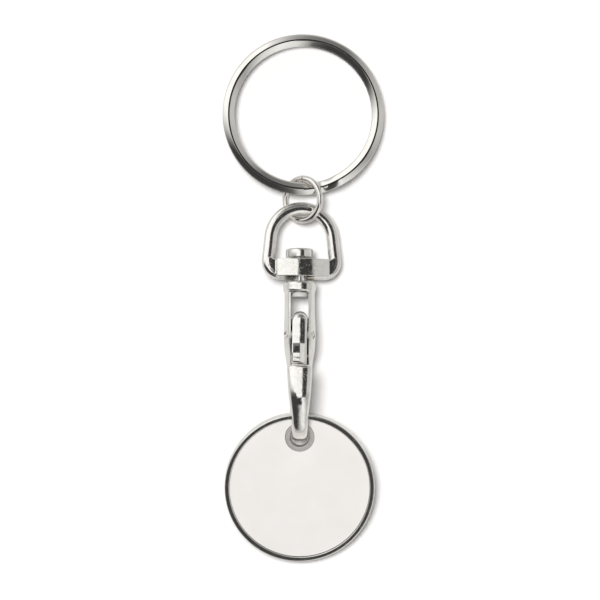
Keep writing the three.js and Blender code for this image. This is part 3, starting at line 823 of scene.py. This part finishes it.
def loop_solid():
    spots = loop_line(240)
    section = round_section(LOOP_LIMB_WIDTH / 2, LOOP_LIMB_DEPTH / 2, 48, LOOP_SECTION_POWER)
    rings = []
    for i, spot in enumerate(spots):
        tangent = (spots[(i + 1) % len(spots)] - spots[i - 1]).normalized()
        across = Vector((tangent.y, -tangent.x, 0))
        rings.append(ring_at(spot + Vector((LOOP_OFF_CENTRE, 0, 0)), tangent, across, section))
    limbs = loft("limbs", rings, closed=True)
    bulge = BAR_HALF_DEPTH - BAR_END_HALF_DEPTH
    radius = (BAR_HALF_LENGTH**2 + bulge**2) / (2 * bulge)
    sweep = math.degrees(math.asin(BAR_HALF_LENGTH / radius))
    centre = BAR_HALF_DEPTH - radius
    lens = arc(LOOP_OFF_CENTRE, centre, radius, 90 - sweep, 90 + sweep, 64)
    lens += arc(LOOP_OFF_CENTRE, -centre, radius, 270 - sweep, 270 + sweep, 64)
    bar = prism("bar", lens, bar_low, bar_high, "Y")
    foot = [(spot.x, spot.y) for spot in spots if spot.y < bar_high + WEB_RISE]
    foot += [(BAR_HALF_LENGTH, bar_high - WEB_INSET), (-BAR_HALF_LENGTH, bar_high - WEB_INSET)]
    foot = [(x + LOOP_OFF_CENTRE, y) for x, y in foot]
    web = prism("web", foot, -WEB_HALF_DEPTH, WEB_HALF_DEPTH, "Z")
    bore = prism("bore", circle(RIVET_SHANK_RADIUS + FIT_GAP, 48), -1, LOOP_TOP / 2, "Y")
    return cut_and_join(limbs, [bar, web], [bore])


loop_skin = tumbled(loop_solid(), LOOP_GRAIN, CASTING_ROUNDS)
seat("swivel_loop_casting", loop_skin, loop_place, hook_plating, "loop", "swivel_loop")

# %% [markdown]
# ## The rivet and the pin
#
# Both are turned pieces. The rivet has a thick head on the bar and a peened tail inside the hook's
# window, which is a piece of its own, as it is duller than the head. The pin crosses the cheeks,
# and its domed ends lie a little below their skin.

# %% The rivet
RIVET_HEAD_RADIUS = 2.15
RIVET_HEAD_HEIGHT = 1.35
RIVET_HEAD_ROUND = 0.35
RIVET_HEAD_BEVEL = 0.08
RIVET_OVERLAP = 0.1
head_top = rivet_head_low + RIVET_HEAD_HEIGHT
round_at = RIVET_HEAD_RADIUS - RIVET_HEAD_ROUND
rivet = revolve(
    "rivet",
    [
        (0, rivet_tail_high - RIVET_OVERLAP),
        (RIVET_SHANK_RADIUS, rivet_tail_high - RIVET_OVERLAP),
        (RIVET_SHANK_RADIUS, rivet_head_low),
        (RIVET_HEAD_RADIUS, rivet_head_low),
        *arc(round_at, head_top - RIVET_HEAD_ROUND, RIVET_HEAD_ROUND, 0, 85, 10),
        (0, head_top),
    ],
)
modify(
    rivet, "BEVEL", width=RIVET_HEAD_BEVEL, segments=3, limit_method="ANGLE", angle_limit=0.6
)
seat("rivet_turning", turned_skin(rivet), swivel_place, hook_plating, "hook", "swivel_rivet")

# %% The rivet's tail
RIVET_TAIL_RADIUS = 1.29
RIVET_TAIL_HEIGHT = 0.75
RIVET_TAIL_ROUND = 0.2
RIVET_TAIL_DISH = 0.3
RIVET_TAIL_EASE = 0.04
tail_low = rivet_tail_high - RIVET_TAIL_HEIGHT
tail_round_at = RIVET_TAIL_RADIUS - RIVET_TAIL_ROUND
tail = revolve(
    "tail",
    [
        (0, tail_low),
        (RIVET_TAIL_RADIUS - RIVET_TAIL_DISH, tail_low),
        *arc(tail_round_at, tail_low + RIVET_TAIL_ROUND, RIVET_TAIL_ROUND, -80, 0, 8),
        (RIVET_TAIL_RADIUS, rivet_tail_high - RIVET_TAIL_EASE),
        (RIVET_TAIL_RADIUS - RIVET_TAIL_EASE, rivet_tail_high),
        (0, rivet_tail_high),
    ],
)
seat("rivet_tail", turned_skin(tail), swivel_place, blasted_plating, "hook", "swivel_rivet")

# %% The pin
CHEEK_PIVOT_HALF_WIDTH = 2.48
PIN_RADIUS = 0.62
PIN_SUNK = 0.36
PIN_DOME = 0.2
pin_half = CHEEK_PIVOT_HALF_WIDTH - PIN_SUNK
turns = [math.pi / 2 * k / 12 for k in range(12, 0, -1)]
dome = [(PIN_RADIUS * math.sin(t), pin_half - PIN_DOME * (1 - math.cos(t))) for t in turns]
pin_line = [(0, -pin_half), *[(r, -y) for r, y in reversed(dome)], *dome, (0, pin_half)]
pin_across = pin_place @ turned(math.pi / 2, "Z")
pin = baked(revolve("pin", pin_line, 64))
seat("pin_turning", pin, pin_across, satin_plating, "hook", "latch_pin")

# %% [markdown]
# ## The hook
#
# The hook is one bar whose section changes all the way: a deep fork for the latch, a slim spine
# that swells backwards, a thin round eye for the coin, and a broad claw that comes back up to meet
# the latch. It is lofted through stations, and then the window, the slot, the gate's room and the
# two bores are cut.

# %% Where the hook meets the latch
CLAW_HALF_DEPTH = 1.12
CLAW_KNOB_GAP = 0.35
CLAW_GATE_GAP = 0.4
SLOT_END_GAP = 0.2
LEVER_BACK_Z = 0.75
LEVER_FRONT_RADIUS = 1.3
GATE_DEPTH = 1.45
GATE_OVERLAP = 0.8


def mix(a, b, share):
    return a + (b - a) * share


lever_front_z = PIVOT_Z + LEVER_FRONT_RADIUS
gate_front_z = LEVER_BACK_Z + GATE_DEPTH
claw_inner_z = gate_front_z + CLAW_GATE_GAP
claw_tip_z = claw_inner_z + CLAW_HALF_DEPTH
claw_tip_reach = knob_end_reach + CLAW_KNOB_GAP
gate_end_reach = claw_tip_reach + GATE_OVERLAP
slot_end = knob_end_reach + SLOT_END_GAP

# %% The stations
CHEEK_HALF_WIDTH = 2.35
CHEEK_TOP_HALF_DEPTH = 2.3
CHEEK_PIVOT_HALF_DEPTH = 3.05
EYE_WIRE_HALF_WIDTH = 1.18
EYE_THINNING = 0.4
EYE_STATIONS = 12
SPINE_BULGE = 3.7
SPINE_HALF_DEPTH = 1.08
SPINE_HALF_WIDTH = 1.5
CLAW_HALF_WIDTH = 1.98
CLAW_ROOT_HALF_WIDTH = 1.42
CLAW_TIP_EDGE = 0.5
CLAW_BEND_SHARE = 0.56
CLAW_BEND_WIDTH_SHARE = 0.46

# Below the pin the bar goes down to the spine. Each row has four shares: of the way to the eye, of
# the bulge to the back, and of the cheeks' depth and width that are left.
SHOULDER = [(0.16, 0.17, 0.83, 0.88), (0.29, 0.5, 0.42, 0.62), (0.43, 0.83, 0.13, 0.4)]


def hook_stations():
    """Rows of y, z, half depth and half width, down the spine, round the eye and up the claw."""
    line_z = PIVOT_Z / 8
    rows = [
        (-COLLAR_HEIGHT / 2, 0, CHEEK_TOP_HALF_DEPTH, CHEEK_HALF_WIDTH),
        (-PIVOT_REACH / 2, line_z / 2, CHEEK_TOP_HALF_DEPTH, CHEEK_HALF_WIDTH),
        (-PIVOT_REACH, line_z, CHEEK_PIVOT_HALF_DEPTH, CHEEK_PIVOT_HALF_WIDTH),
    ]
    for reach, sink, depth, width in SHOULDER:
        y, z = mix(-PIVOT_REACH, eye_y, reach), mix(line_z, -SPINE_BULGE, sink)
        depth = mix(SPINE_HALF_DEPTH, CHEEK_PIVOT_HALF_DEPTH, depth)
        rows.append((y, z, depth, mix(SPINE_HALF_WIDTH, CHEEK_PIVOT_HALF_WIDTH, width)))
    spine_y = mix(-PIVOT_REACH, eye_y, 2 / 3)
    rows.append((spine_y, -SPINE_BULGE, SPINE_HALF_DEPTH, SPINE_HALF_WIDTH))
    for i in range(EYE_STATIONS):
        turn = math.pi * i / EYE_STATIONS
        thin = max(math.sin(turn), 0) ** EYE_THINNING
        depth = mix(SPINE_HALF_DEPTH, CLAW_HALF_DEPTH, i / EYE_STATIONS)
        width = mix(SPINE_HALF_WIDTH, CLAW_ROOT_HALF_WIDTH, i / EYE_STATIONS)
        y, z = eye_y - EYE_RADIUS * math.sin(turn), EYE_CENTRE_Z - EYE_RADIUS * math.cos(turn)
        depth = mix(depth, EYE_WIRE_HALF_DEPTH, thin)
        rows.append((y, z, depth, mix(width, EYE_WIRE_HALF_WIDTH, thin)))
    tip_y = -claw_tip_reach - CLAW_TIP_EDGE
    bend_y = mix(tip_y, eye_y, CLAW_BEND_SHARE)
    bend_z = max(claw_tip_z, EYE_CENTRE_Z + EYE_RADIUS)
    bend_z += (CLAW_HALF_DEPTH - EYE_WIRE_HALF_DEPTH) / 2
    bend_width = mix(CLAW_HALF_WIDTH, CLAW_ROOT_HALF_WIDTH, CLAW_BEND_WIDTH_SHARE)
    rows.append((bend_y, bend_z, CLAW_HALF_DEPTH, bend_width))
    rows.append((tip_y, claw_tip_z, CLAW_HALF_DEPTH, CLAW_HALF_WIDTH))
    return rows


print("stations of the hook:", len(hook_stations()))

# %% A smooth line through the stations
def smooth_rows(rows, steps, rounds):
    """A curve through rows of numbers, spaced by the square root of their distances in y and z."""
    first = [2 * a - b for a, b in zip(rows[0], rows[1])]
    last = [2 * a - b for a, b in zip(rows[-1], rows[-2])]
    ends = [first, *rows, last]
    out = []
    for i in range(steps + 1):
        place = (len(rows) - 1) * i / steps
        k = min(int(place), len(rows) - 2)
        t = place - k
        four = ends[k : k + 4]
        lengths = [math.hypot(b[0] - a[0], b[1] - a[1]) for a, b in zip(four, four[1:])]
        near, gap, far = [max(length, 1e-6) ** 0.5 for length in lengths]
        row = []
        for a, b, c, d in zip(*four):
            leave = (b - a) / near - (c - a) / (near + gap) + (c - b) / gap
            reach = (c - b) / gap - (d - b) / (gap + far) + (d - c) / far
            leave, reach = leave * gap, reach * gap
            cube = 2 * b - 2 * c + leave + reach
            square = 3 * c - 3 * b - 2 * leave - reach
            row.append(b + t * (leave + t * (square + t * cube)))
        out.append(row)
    for _ in range(rounds):
        threes = zip(out, out[1:], out[2:])
        inner = [[(p + 2 * q + r) / 4 for p, q, r in zip(*three)] for three in threes]
        out = [out[0], *inner, out[-1]]
    return out

# %% The bar of the hook
HOOK_SECTION_POWER = 2.6
CLAW_TIP_POWER = 0.3
CLAW_TIP_LEAST = 0.05
CLAW_TIP_RINGS = 16


def hook_section(width, depth):
    return round_section(width, depth, 64, HOOK_SECTION_POWER)


def hook_solid():
    rows = smooth_rows(hook_stations(), 320, 10)
    across = Vector((1, 0, 0))
    rings = []
    for i, (y, z, depth, width) in enumerate(rows):
        after, before = rows[min(i + 1, len(rows) - 1)], rows[max(i - 1, 0)]
        tangent = Vector((0, after[0] - before[0], after[1] - before[1])).normalized()
        section = hook_section(width, depth)
        rings.append(ring_at(Vector((0, y, z)), tangent, across, section))
    tip = Vector((0, rows[-1][0], rows[-1][1]))
    for i in range(1, CLAW_TIP_RINGS + 1):
        turn = math.pi / 2 * i / CLAW_TIP_RINGS
        size = max(math.cos(turn) ** CLAW_TIP_POWER, CLAW_TIP_LEAST)
        section = hook_section(CLAW_HALF_WIDTH * size, CLAW_HALF_DEPTH * size)
        middle = tip + tangent * CLAW_TIP_EDGE * math.sin(turn)
        rings.append(ring_at(middle, tangent, across, section))
    return loft("hook", rings)

# %% The collar
COLLAR_RADIUS = 2.54
COLLAR_ROUND = 0.4
COLLAR_FOOT_IN = 0.15
COLLAR_FOOT_RISE = 0.2
COLLAR_SECTION_POWER = 2.35


def collar_solid():
    """A short post whose front is a little flat, with its top edge rounded over."""
    rims = [(COLLAR_RADIUS - COLLAR_FOOT_IN, -COLLAR_HEIGHT)]
    rims.append((COLLAR_RADIUS, -COLLAR_HEIGHT + COLLAR_FOOT_RISE))
    rims += arc(COLLAR_RADIUS - COLLAR_ROUND, -COLLAR_ROUND, COLLAR_ROUND, 0, 90, 10)
    rings = []
    for radius, y in rims:
        section = round_section(radius, radius, 96, COLLAR_SECTION_POWER)
        rings.append(ring_at(Vector((0, y, 0)), Vector((0, 1, 0)), Vector((1, 0, 0)), section))
    return loft("collar", rings)

# %% The window, the slot and the bores
WINDOW_WIDTH = 2.7
WINDOW_ROUND = 0.5
WINDOW_THROUGH_DEPTH = 3.9
GATE_ROOM_FLOOR_Z = -1.75
GATE_ROOM_START = 1.65
GATE_ROOM_END = 1.95
GATE_ROOM_CLAW_GAP = 0.3
PIN_CHEEK_GRIP = 0.03


def hook_cuts():
    half = WINDOW_WIDTH / 2
    wide = HOOK_LENGTH
    through_end = window_top - WINDOW_THROUGH_DEPTH
    corner_x, corner_y = half - WINDOW_ROUND, window_top - WINDOW_ROUND
    outline = [(-half, through_end), (half, through_end)]
    outline += arc(corner_x, corner_y, WINDOW_ROUND, 0, 90, 12)
    outline += arc(-corner_x, corner_y, WINDOW_ROUND, 90, 180, 12)
    room_start, room_end = slot_end - GATE_ROOM_START, gate_end_reach + GATE_ROOM_END
    room_top = claw_inner_z - GATE_ROOM_CLAW_GAP
    pin_bore = circle(PIN_RADIUS - PIN_CHEEK_GRIP, 36, -PIVOT_REACH, PIVOT_Z)
    rivet_bore = circle(RIVET_SHANK_RADIUS + FIT_GAP, 48)
    return [
        prism("window", outline, -wide / 2, wide / 2, "Z"),
        block("slot", WINDOW_WIDTH, -slot_end, through_end + 1, SLOT_FLOOR_Z, wide / 2),
        block("gate_room", WINDOW_WIDTH, -room_end, -room_start, GATE_ROOM_FLOOR_Z, room_top),
        prism("rivet_bore", rivet_bore, window_top - 1, 1, "Y"),
        prism("pin_bore", pin_bore, -wide / 2, wide / 2, "X"),
    ]


hook = cut_and_join(hook_solid(), [collar_solid()], hook_cuts())
hook_skin = tumbled(hook, HOOK_GRAIN, CASTING_ROUNDS)
seat("hook_casting", hook_skin, swivel_place, hook_plating, "hook", "hook_body")

# %% [markdown]
# ## The latch lever
#
# Seen from the side, the lever has a round tail, a straight front over the pin, a thumb knob and a
# flat gate that closes behind the claw. A channel in its back takes the spring. Its front is round
# from side to side like a bar, so the side view is pushed out by slices whose front line sinks
# towards the two sides. The pin has some play, so the lever sits a little askew in its slot and its
# knob leans to the left.

# %% The shape of the knob
# The knob's side, as shares of its depth and length. Then its front from left to right: each x has
# the share of the depth that the knob has there.
KNOB_SHAPE = [
    (0.6, 0.02), (0.76, 0.07), (0.84, 0.16), (0.9, 0.3), (1.0, 0.5), (0.985, 0.86), (0.9, 0.97)
]
KNOB_ACROSS = [
    (-1.2, 0.0), (-1.19, 0.5), (-1.16, 0.86), (-1.11, 0.98), (-1.05, 1.0),
    (0.12, 0.945), (0.28, 0.87), (0.6, 0.6), (0.95, 0.27), (1.1, 0.0),
]

# %% Slices from side to side
CROWN_POWER = 2.2


def slices(name, outline, across, back):
    """A side view at each x of a list, with what lies above back scaled in Z by that x's share."""
    rows = []
    for x, share in across:
        sunk = [(back + (z - back) * share if z > back else z, y) for z, y in outline]
        rows.append([Vector((x, y, z)) for z, y in sunk])
    return loft(name, rows)


def crown_sink(share):
    """How far a round front has sunk, from 0 at its crest to 1 at its edge."""
    return 1 - math.sqrt(max(1 - share**CROWN_POWER, 0))

# %% The arm of the lever
LEVER_WIDTH = 2.3
LEVER_TAIL_REACH = 4.75
LEVER_TAIL_DEPTH = 2.5
GATE_EASE = 0.2
KNOB_FOOT_EASE = 0.1
LEVER_CROWN = 0.42
CROWN_START = 0.9
CREST_SHIFT = 0.3
TAIL_CROWN = 1.15
SLICES = 33


def lever_arm():
    """The arm, whose front and tail are both round from side to side."""
    radius = LEVER_TAIL_DEPTH / 2
    outline = [
        (LEVER_BACK_Z, -gate_end_reach + GATE_EASE),
        (LEVER_BACK_Z + GATE_EASE, -gate_end_reach),
        (gate_front_z - GATE_EASE, -gate_end_reach),
        (gate_front_z, -gate_end_reach + GATE_EASE),
        (gate_front_z, -knob_end_reach),
        (lever_front_z - KNOB_FOOT_EASE, -knob_end_reach),
        (lever_front_z, -knob_end_reach + KNOB_FOOT_EASE),
        (lever_front_z, -PIVOT_REACH),
        *arc(LEVER_BACK_Z + radius, -LEVER_TAIL_REACH - radius, radius, 0, 180, 40),
    ]
    back, low, half = LEVER_BACK_Z + CROWN_START, -PIVOT_REACH, LEVER_WIDTH / 2
    rows = []
    for i in range(SLICES):
        x = half * math.sin(math.pi * (i / (SLICES - 1) - 0.5))
        sink = crown_sink(abs(x + CREST_SHIFT) / (half + CREST_SHIFT))
        front = 1 - sink * LEVER_CROWN / (lever_front_z - back)
        top = 1 - crown_sink(abs(x) / half) * TAIL_CROWN / (-LEVER_TAIL_REACH - low)
        row = []
        for z, y in outline:
            z = back + (z - back) * front if z > back else z
            row.append(Vector((x, low + (y - low) * top if y > low else y, z)))
        rows.append(row)
    return loft("arm", rows)

# %% The lever's casting
PIN_LEVER_GAP = 0.1
KNOB_DEPTH = 1.6
KNOB_ROOT = 0.4
KNOB_LEAST = 0.02
CHANNEL_WIDTH = 1.4
CHANNEL_RADIUS = 1.03
CHANNEL_SKIN = 0.2
LEVER_SKEW = math.radians(1.2)


def lever_solid():
    foot_z = lever_front_z - KNOB_DEPTH / 2
    knob_line = [(foot_z, -knob_end_reach)]
    for out, up in KNOB_SHAPE:
        knob_line.append((lever_front_z + KNOB_DEPTH * out, -knob_end_reach + KNOB_LENGTH * up))
    knob_line.append((foot_z, -knob_top_reach))
    across = [(x, KNOB_LEAST + (1 - KNOB_LEAST) * share) for x, share in KNOB_ACROSS]
    knob = slices("knob", knob_line, across, foot_z - KNOB_ROOT)
    channel_line = [
        (LEVER_BACK_Z - 1, -knob_end_reach),
        (gate_front_z - CHANNEL_SKIN, -knob_end_reach),
        *arc(PIVOT_Z, -PIVOT_REACH, CHANNEL_RADIUS, -45, 120, 24),
        (LEVER_BACK_Z - 1, -PIVOT_REACH + CHANNEL_RADIUS),
    ]
    channel_line = [(y, z) for z, y in channel_line]
    channel = prism("channel", channel_line, -CHANNEL_WIDTH / 2, CHANNEL_WIDTH / 2, "X")
    bore = circle(PIN_RADIUS + PIN_LEVER_GAP, 36, -PIVOT_REACH, PIVOT_Z)
    bore = prism("bore", bore, -LEVER_WIDTH, LEVER_WIDTH, "X")
    return cut_and_join(lever_arm(), [knob], [channel, bore])


pivot = moved(0, -PIVOT_REACH, 0)
skewed = swivel_place @ pivot @ turned(-LEVER_SKEW, "Z") @ pivot.inverted()
lever_skin = tumbled(lever_solid(), LEVER_GRAIN, LEVER_ROUNDS)
seat("lever_casting", lever_skin, skewed, hook_plating, "lever", "latch_lever")

# %% [markdown]
# ## The coin
#
# The coin's blank is turned, with a raised round rim, and has an eyelet through it for the hook. A
# white disc fills the recess in each face. Its edge is eased, so a hair line of shade shows against
# the rim. All of these are stacks of circles: each circle has a middle, a radius and a height, and
# the skin between them closes on itself. A circle may move to the eyelet's middle, which makes a
# plate with a hole off its middle without any cutting, so every edge stays clean.

# %% A skin over a stack of circles
def hoops(name, circles, count):
    """A closed skin through circles that are given by the middle's Y, the radius and the height."""
    rings = []
    turns = [math.tau * k / count for k in range(count)]
    for middle, radius, z in circles:
        hoop = [(radius * math.cos(t), middle + radius * math.sin(t), z) for t in turns]
        rings.append([Vector(spot) for spot in hoop])
    return loft(name, rings, closed=True)


def eased(middle, radius, z, ease, start, end, steps=6):
    """Circles over a rounded edge, from one angle to another about the radius and z."""
    return [(middle, r, h) for r, h in arc(radius, z, ease, start, end, steps)]


def plate(name, outer, hole, half, ease, hole_ease, middle=0, count=256):
    """A round plate with a hole at the eyelet's place, its edges eased."""
    far = COIN_HOLE_OFFSET
    circles = eased(far, hole + hole_ease, half - hole_ease, hole_ease, 180, 90)
    circles += eased(middle, outer - ease, half - ease, ease, 90, 0)
    circles += eased(middle, outer - ease, ease - half, ease, 0, -90)
    circles += eased(far, hole + hole_ease, hole_ease - half, hole_ease, -90, -180)
    return hoops(name, circles, count)

# %% The rim of the coin
COIN_RIM_WIDTH = 0.75
COIN_RIM_PROUD = 0.25
COIN_CREST_OUT = 0.2
COIN_CREST_IN = 0.14
COIN_CREST_CROWN = 0.004
COIN_WALL_ROUND = 0.12
coin_outer = COIN_DIAMETER / 2
coin_inner = coin_outer - COIN_RIM_WIDTH
coin_half = COIN_THICKNESS / 2
coin_face = coin_half - COIN_RIM_PROUD
crest_in, crest_out = coin_inner + COIN_CREST_IN, coin_outer - COIN_CREST_OUT


def rim_circles():
    """The rim's section: a round outer corner, a crest with a slight crown, a steep inner wall."""
    top = eased(0, crest_out, coin_half - COIN_CREST_OUT, COIN_CREST_OUT, 0, 84, 10)
    for k in range(9):
        share = k / 8
        lift = COIN_CREST_CROWN * (4 * share * (1 - share) - 1)
        top.append((0, crest_out + (crest_in - crest_out) * share, coin_half + lift))
    top += eased(0, crest_in, coin_half - COIN_WALL_ROUND, COIN_WALL_ROUND, 100, 180, 8)
    return top + [(0, r, -z) for _, r, z in reversed(top)]

# %% The coin's blank
EYELET_ROUND = 0.12
EYELET_EDGE = 0.03
COIN_WEB_EDGE = 0.02
COIN_WEB_RIM_TUCK = 0.05
COIN_WEB_EYELET_TUCK = 0.1
COIN_HOLE_DIAMETER = 3.05
COIN_EYELET_DIAMETER = 4.43
INLAY_THICKNESS = 0.35
eyelet_outer = COIN_EYELET_DIAMETER / 2
web_half = coin_face - INLAY_THICKNESS - FIT_GAP
rim = hoops("rim", rim_circles(), 384)
web_outer, web_hole = coin_inner + COIN_WEB_RIM_TUCK, eyelet_outer - COIN_WEB_EYELET_TUCK
web = plate("web", web_outer, web_hole, web_half, COIN_WEB_EDGE, COIN_WEB_EDGE)
sizes = (eyelet_outer, COIN_HOLE_DIAMETER / 2, coin_face, EYELET_EDGE, EYELET_ROUND)
eyelet = plate("eyelet", *sizes, middle=COIN_HOLE_OFFSET, count=128)
for title, part, finish in (
    ("coin_rim", rim, coin_plating),
    ("coin_web", web, coin_plating),
    ("coin_eyelet", eyelet, eyelet_satin_painted_shade),
):
    seat(title, turned_skin(part), coin_place, finish, "coin", "coin_blank")

# %% The inlays
INLAY_RIM_GAP = 0.05
INLAY_EASE = 0.05
disc_outer, disc_hole = coin_inner - INLAY_RIM_GAP, eyelet_outer + INLAY_RIM_GAP
for title, side in (("front", 1), ("back", -1)):
    disc = plate("disc", disc_outer, disc_hole, INLAY_THICKNESS / 2, INLAY_EASE, INLAY_EASE)
    place = coin_place @ moved(0, 0, side * (coin_face - INLAY_THICKNESS / 2))
    seat(title + "_inlay_disc", turned_skin(disc), place, white_inlay, "coin", title + "_inlay")

# %% [markdown]
# ## The table and the studio
#
# The keyring lies on a white sweep. What the metal mirrors is the studio: walls that are bright at
# the upper left and the lower right and dark at the lower left, and a white ceiling. Two dark cards
# and a dark wedge hang under the ceiling, and they draw the dark bands down the middle of the round
# bars. The world holds this studio as a map of directions that only mirror rays see. The camera
# sees plain white in its place, and all other light gets an even grey.

# %% The table
def paper(name):
    material, tree, place = start_finish(name)
    fibres = noise(tree, place, 0.6, 4.0)
    colour = blend_colours(tree, fibres, (0.99, 0.98, 0.972), (0.975, 0.965, 0.957))
    # Painted shade: mirror rays see the paper grey, standing in for the shade on the table round
    # the keyring.
    mirrored = add(tree, "ShaderNodeLightPath").other("Is Glossy Ray")
    shaded_in_mirrors = blend_colours(tree, mirrored, colour, (0.74, 0.735, 0.73))
    finish_surface(tree, {"Base Color": shaded_in_mirrors, "Roughness": 0.9, "Specular IOR Level": 0.1})
    return material


# In metres. The top is a hair below zero, so that no face of the keyring shares a plane with it.
TABLE_HALF = 2
TABLE_LOW, TABLE_TOP = -0.01, -0.00002
corners = [(-TABLE_HALF, -TABLE_HALF), (TABLE_HALF, -TABLE_HALF)]
corners += [(TABLE_HALF, TABLE_HALF), (-TABLE_HALF, TABLE_HALF)]
table = prism("table", corners, TABLE_LOW, TABLE_TOP, "Z")
table.data.materials.append(paper("table_paper"))
print("table:", 2 * TABLE_HALF, "m wide")

# %% The studio
# Directions go round anticlockwise from the right, as shares of a turn, each with its brightness.
WALL_STOPS = [
    (0.0, 0.62), (0.033, 0.62), (0.067, 0.54), (0.1, 0.49), (0.133, 0.38), (0.167, 0.18),
    (0.2, 0.19), (0.233, 0.25), (0.267, 0.5), (0.29, 0.85), (0.31, 1.2), (0.45, 1.2),
    (0.49, 0.75), (0.517, 0.3), (0.533, 0.12), (0.555, 0.06), (0.667, 0.055), (0.7, 0.09),
    (0.735, 0.14), (0.75, 0.45), (0.775, 0.85), (0.83, 1.0), (0.88, 0.8), (0.905, 0.6),
    (0.933, 0.42), (0.967, 0.5), (1.0, 0.62),
]
# The dark cards overhead. Each has the x/z where its left and right edges fade, then the same in
# y/z. The dark wedge goes by the share of a turn and by the slope.
CARDS = [
    ((0.07, 0.17), (0.66, 0.92), (-0.33, -0.23), (0.37, 0.47)),
    ((-0.29, -0.19), (0.07, 0.17), (-0.58, -0.48), (-0.3, -0.22)),
]
WEDGE = ((0.53, 0.56), (0.68, 0.75), (0.24, 0.34))
CARD_SHADE = 0.05
CEILING_EDGE, CEILING_LEVEL = (0.35, 0.65), 1.1
FLOOR_EDGE, FLOOR_LEVEL = (0.12, 0.4), 0.6
LIGHT_COLOUR = (1.0, 0.993, 0.985, 1)
AMBIENT = 0.27

# %% The world
def covered(level, share, shade):
    return level * (1 - share) + share * shade


def studio():
    world = bpy.data.worlds.new("studio")
    bpy.context.scene.world = world
    world.use_nodes = True
    tree = world.node_tree
    tree.nodes.clear()
    way = add(tree, "ShaderNodeTexCoord").other("Generated")
    x = add(tree, "ShaderNodeSeparateXYZ", None, {0: way})
    y, z = x.other("Y"), x.other("Z")
    up = z.most(0.001)
    turn = x.math("ARCTAN2", y, x) / math.tau
    around = turn.math("FRACT", turn)
    stops = [(place, (level,) * 3) for place, level in WALL_STOPS]
    walls = add(tree, "ShaderNodeValToRGB", {"stops": stops}, {"Fac": around})
    level = add(tree, "ShaderNodeSeparateColor", None, {0: walls})
    across, along = x / up, y / up
    slope = (across**2 + along**2) ** 0.5
    level = covered(level, 1 - slope.step(*CEILING_EDGE), CEILING_LEVEL)
    shades = [around.step(*WEDGE[0]) * (1 - around.step(*WEDGE[1])) * slope.step(*WEDGE[2])]
    for left, right, low, high in CARDS:
        sides = across.step(*left) * (1 - across.step(*right))
        shades.append(sides * along.step(*low) * (1 - along.step(*high)))
    for share in shades:
        level = covered(level, share, CARD_SHADE)
    level = covered(level, 1 - z.step(*FLOOR_EDGE), FLOOR_LEVEL)
    rays = add(tree, "ShaderNodeLightPath")
    seen, mirrored = rays.other("Is Camera Ray"), rays.other("Is Glossy Ray")
    level = level * mirrored + (1 - mirrored) * AMBIENT
    level = level * (1 - seen) + seen
    values = {"Color": LIGHT_COLOUR, "Strength": level}
    light = add(tree, "ShaderNodeBackground", None, values)
    add(tree, "ShaderNodeOutputWorld", None, {"Surface": light})
    print("studio:", len(tree.nodes), "nodes")


studio()

# %% The lamp
# One soft lamp stands nearly overhead, a little to the upper left, so the shadow is a narrow soft
# band along the lower right. The metal mirrors the studio and not the lamp, so the lamp is hidden
# from glossy rays.
LAMP_SHARE = 0.8
LAMP_SPREAD = 19
LAMP_FROM = Vector((-0.14, 0.165, 1))
lamp = bpy.data.lights.new("key", "SUN")
lamp.energy = LAMP_SHARE * math.pi
lamp.angle = math.radians(LAMP_SPREAD)
key = bpy.data.objects.new("key", lamp)
key.rotation_euler = LAMP_FROM.to_track_quat("Z", "Y").to_euler()
key.visible_glossy = False
bpy.context.scene.collection.objects.link(key)
print("lamp: strength", round(lamp.energy, 2), "spread", LAMP_SPREAD, "degrees")

# %% [markdown]
# ## The camera
#
# The photograph looks straight down. Six and a half of its pixels make a millimetre, which sets how
# wide a strip of the table the picture covers, and so the lens at a given height.

# %% The camera
PIXELS = 600
PIXELS_PER_MM = 6.46
CAMERA_X, CAMERA_Y = -0.503, -0.3715
CAMERA_HEIGHT = 0.7
OBJECT_HEIGHT = 0.003
camera_data = bpy.data.cameras.new("camera")
camera_data.sensor_width = 36
width = PIXELS / PIXELS_PER_MM * MM
camera_data.lens = camera_data.sensor_width * (CAMERA_HEIGHT - OBJECT_HEIGHT) / width
camera_data.clip_start = 0.01
camera = bpy.data.objects.new("camera", camera_data)
camera.location = (CAMERA_X * MM, CAMERA_Y * MM, CAMERA_HEIGHT)
bpy.context.scene.collection.objects.link(camera)
bpy.context.scene.camera = camera
bpy.context.scene.view_settings.view_transform = "Standard"
print("lens in mm:", round(camera_data.lens, 1))
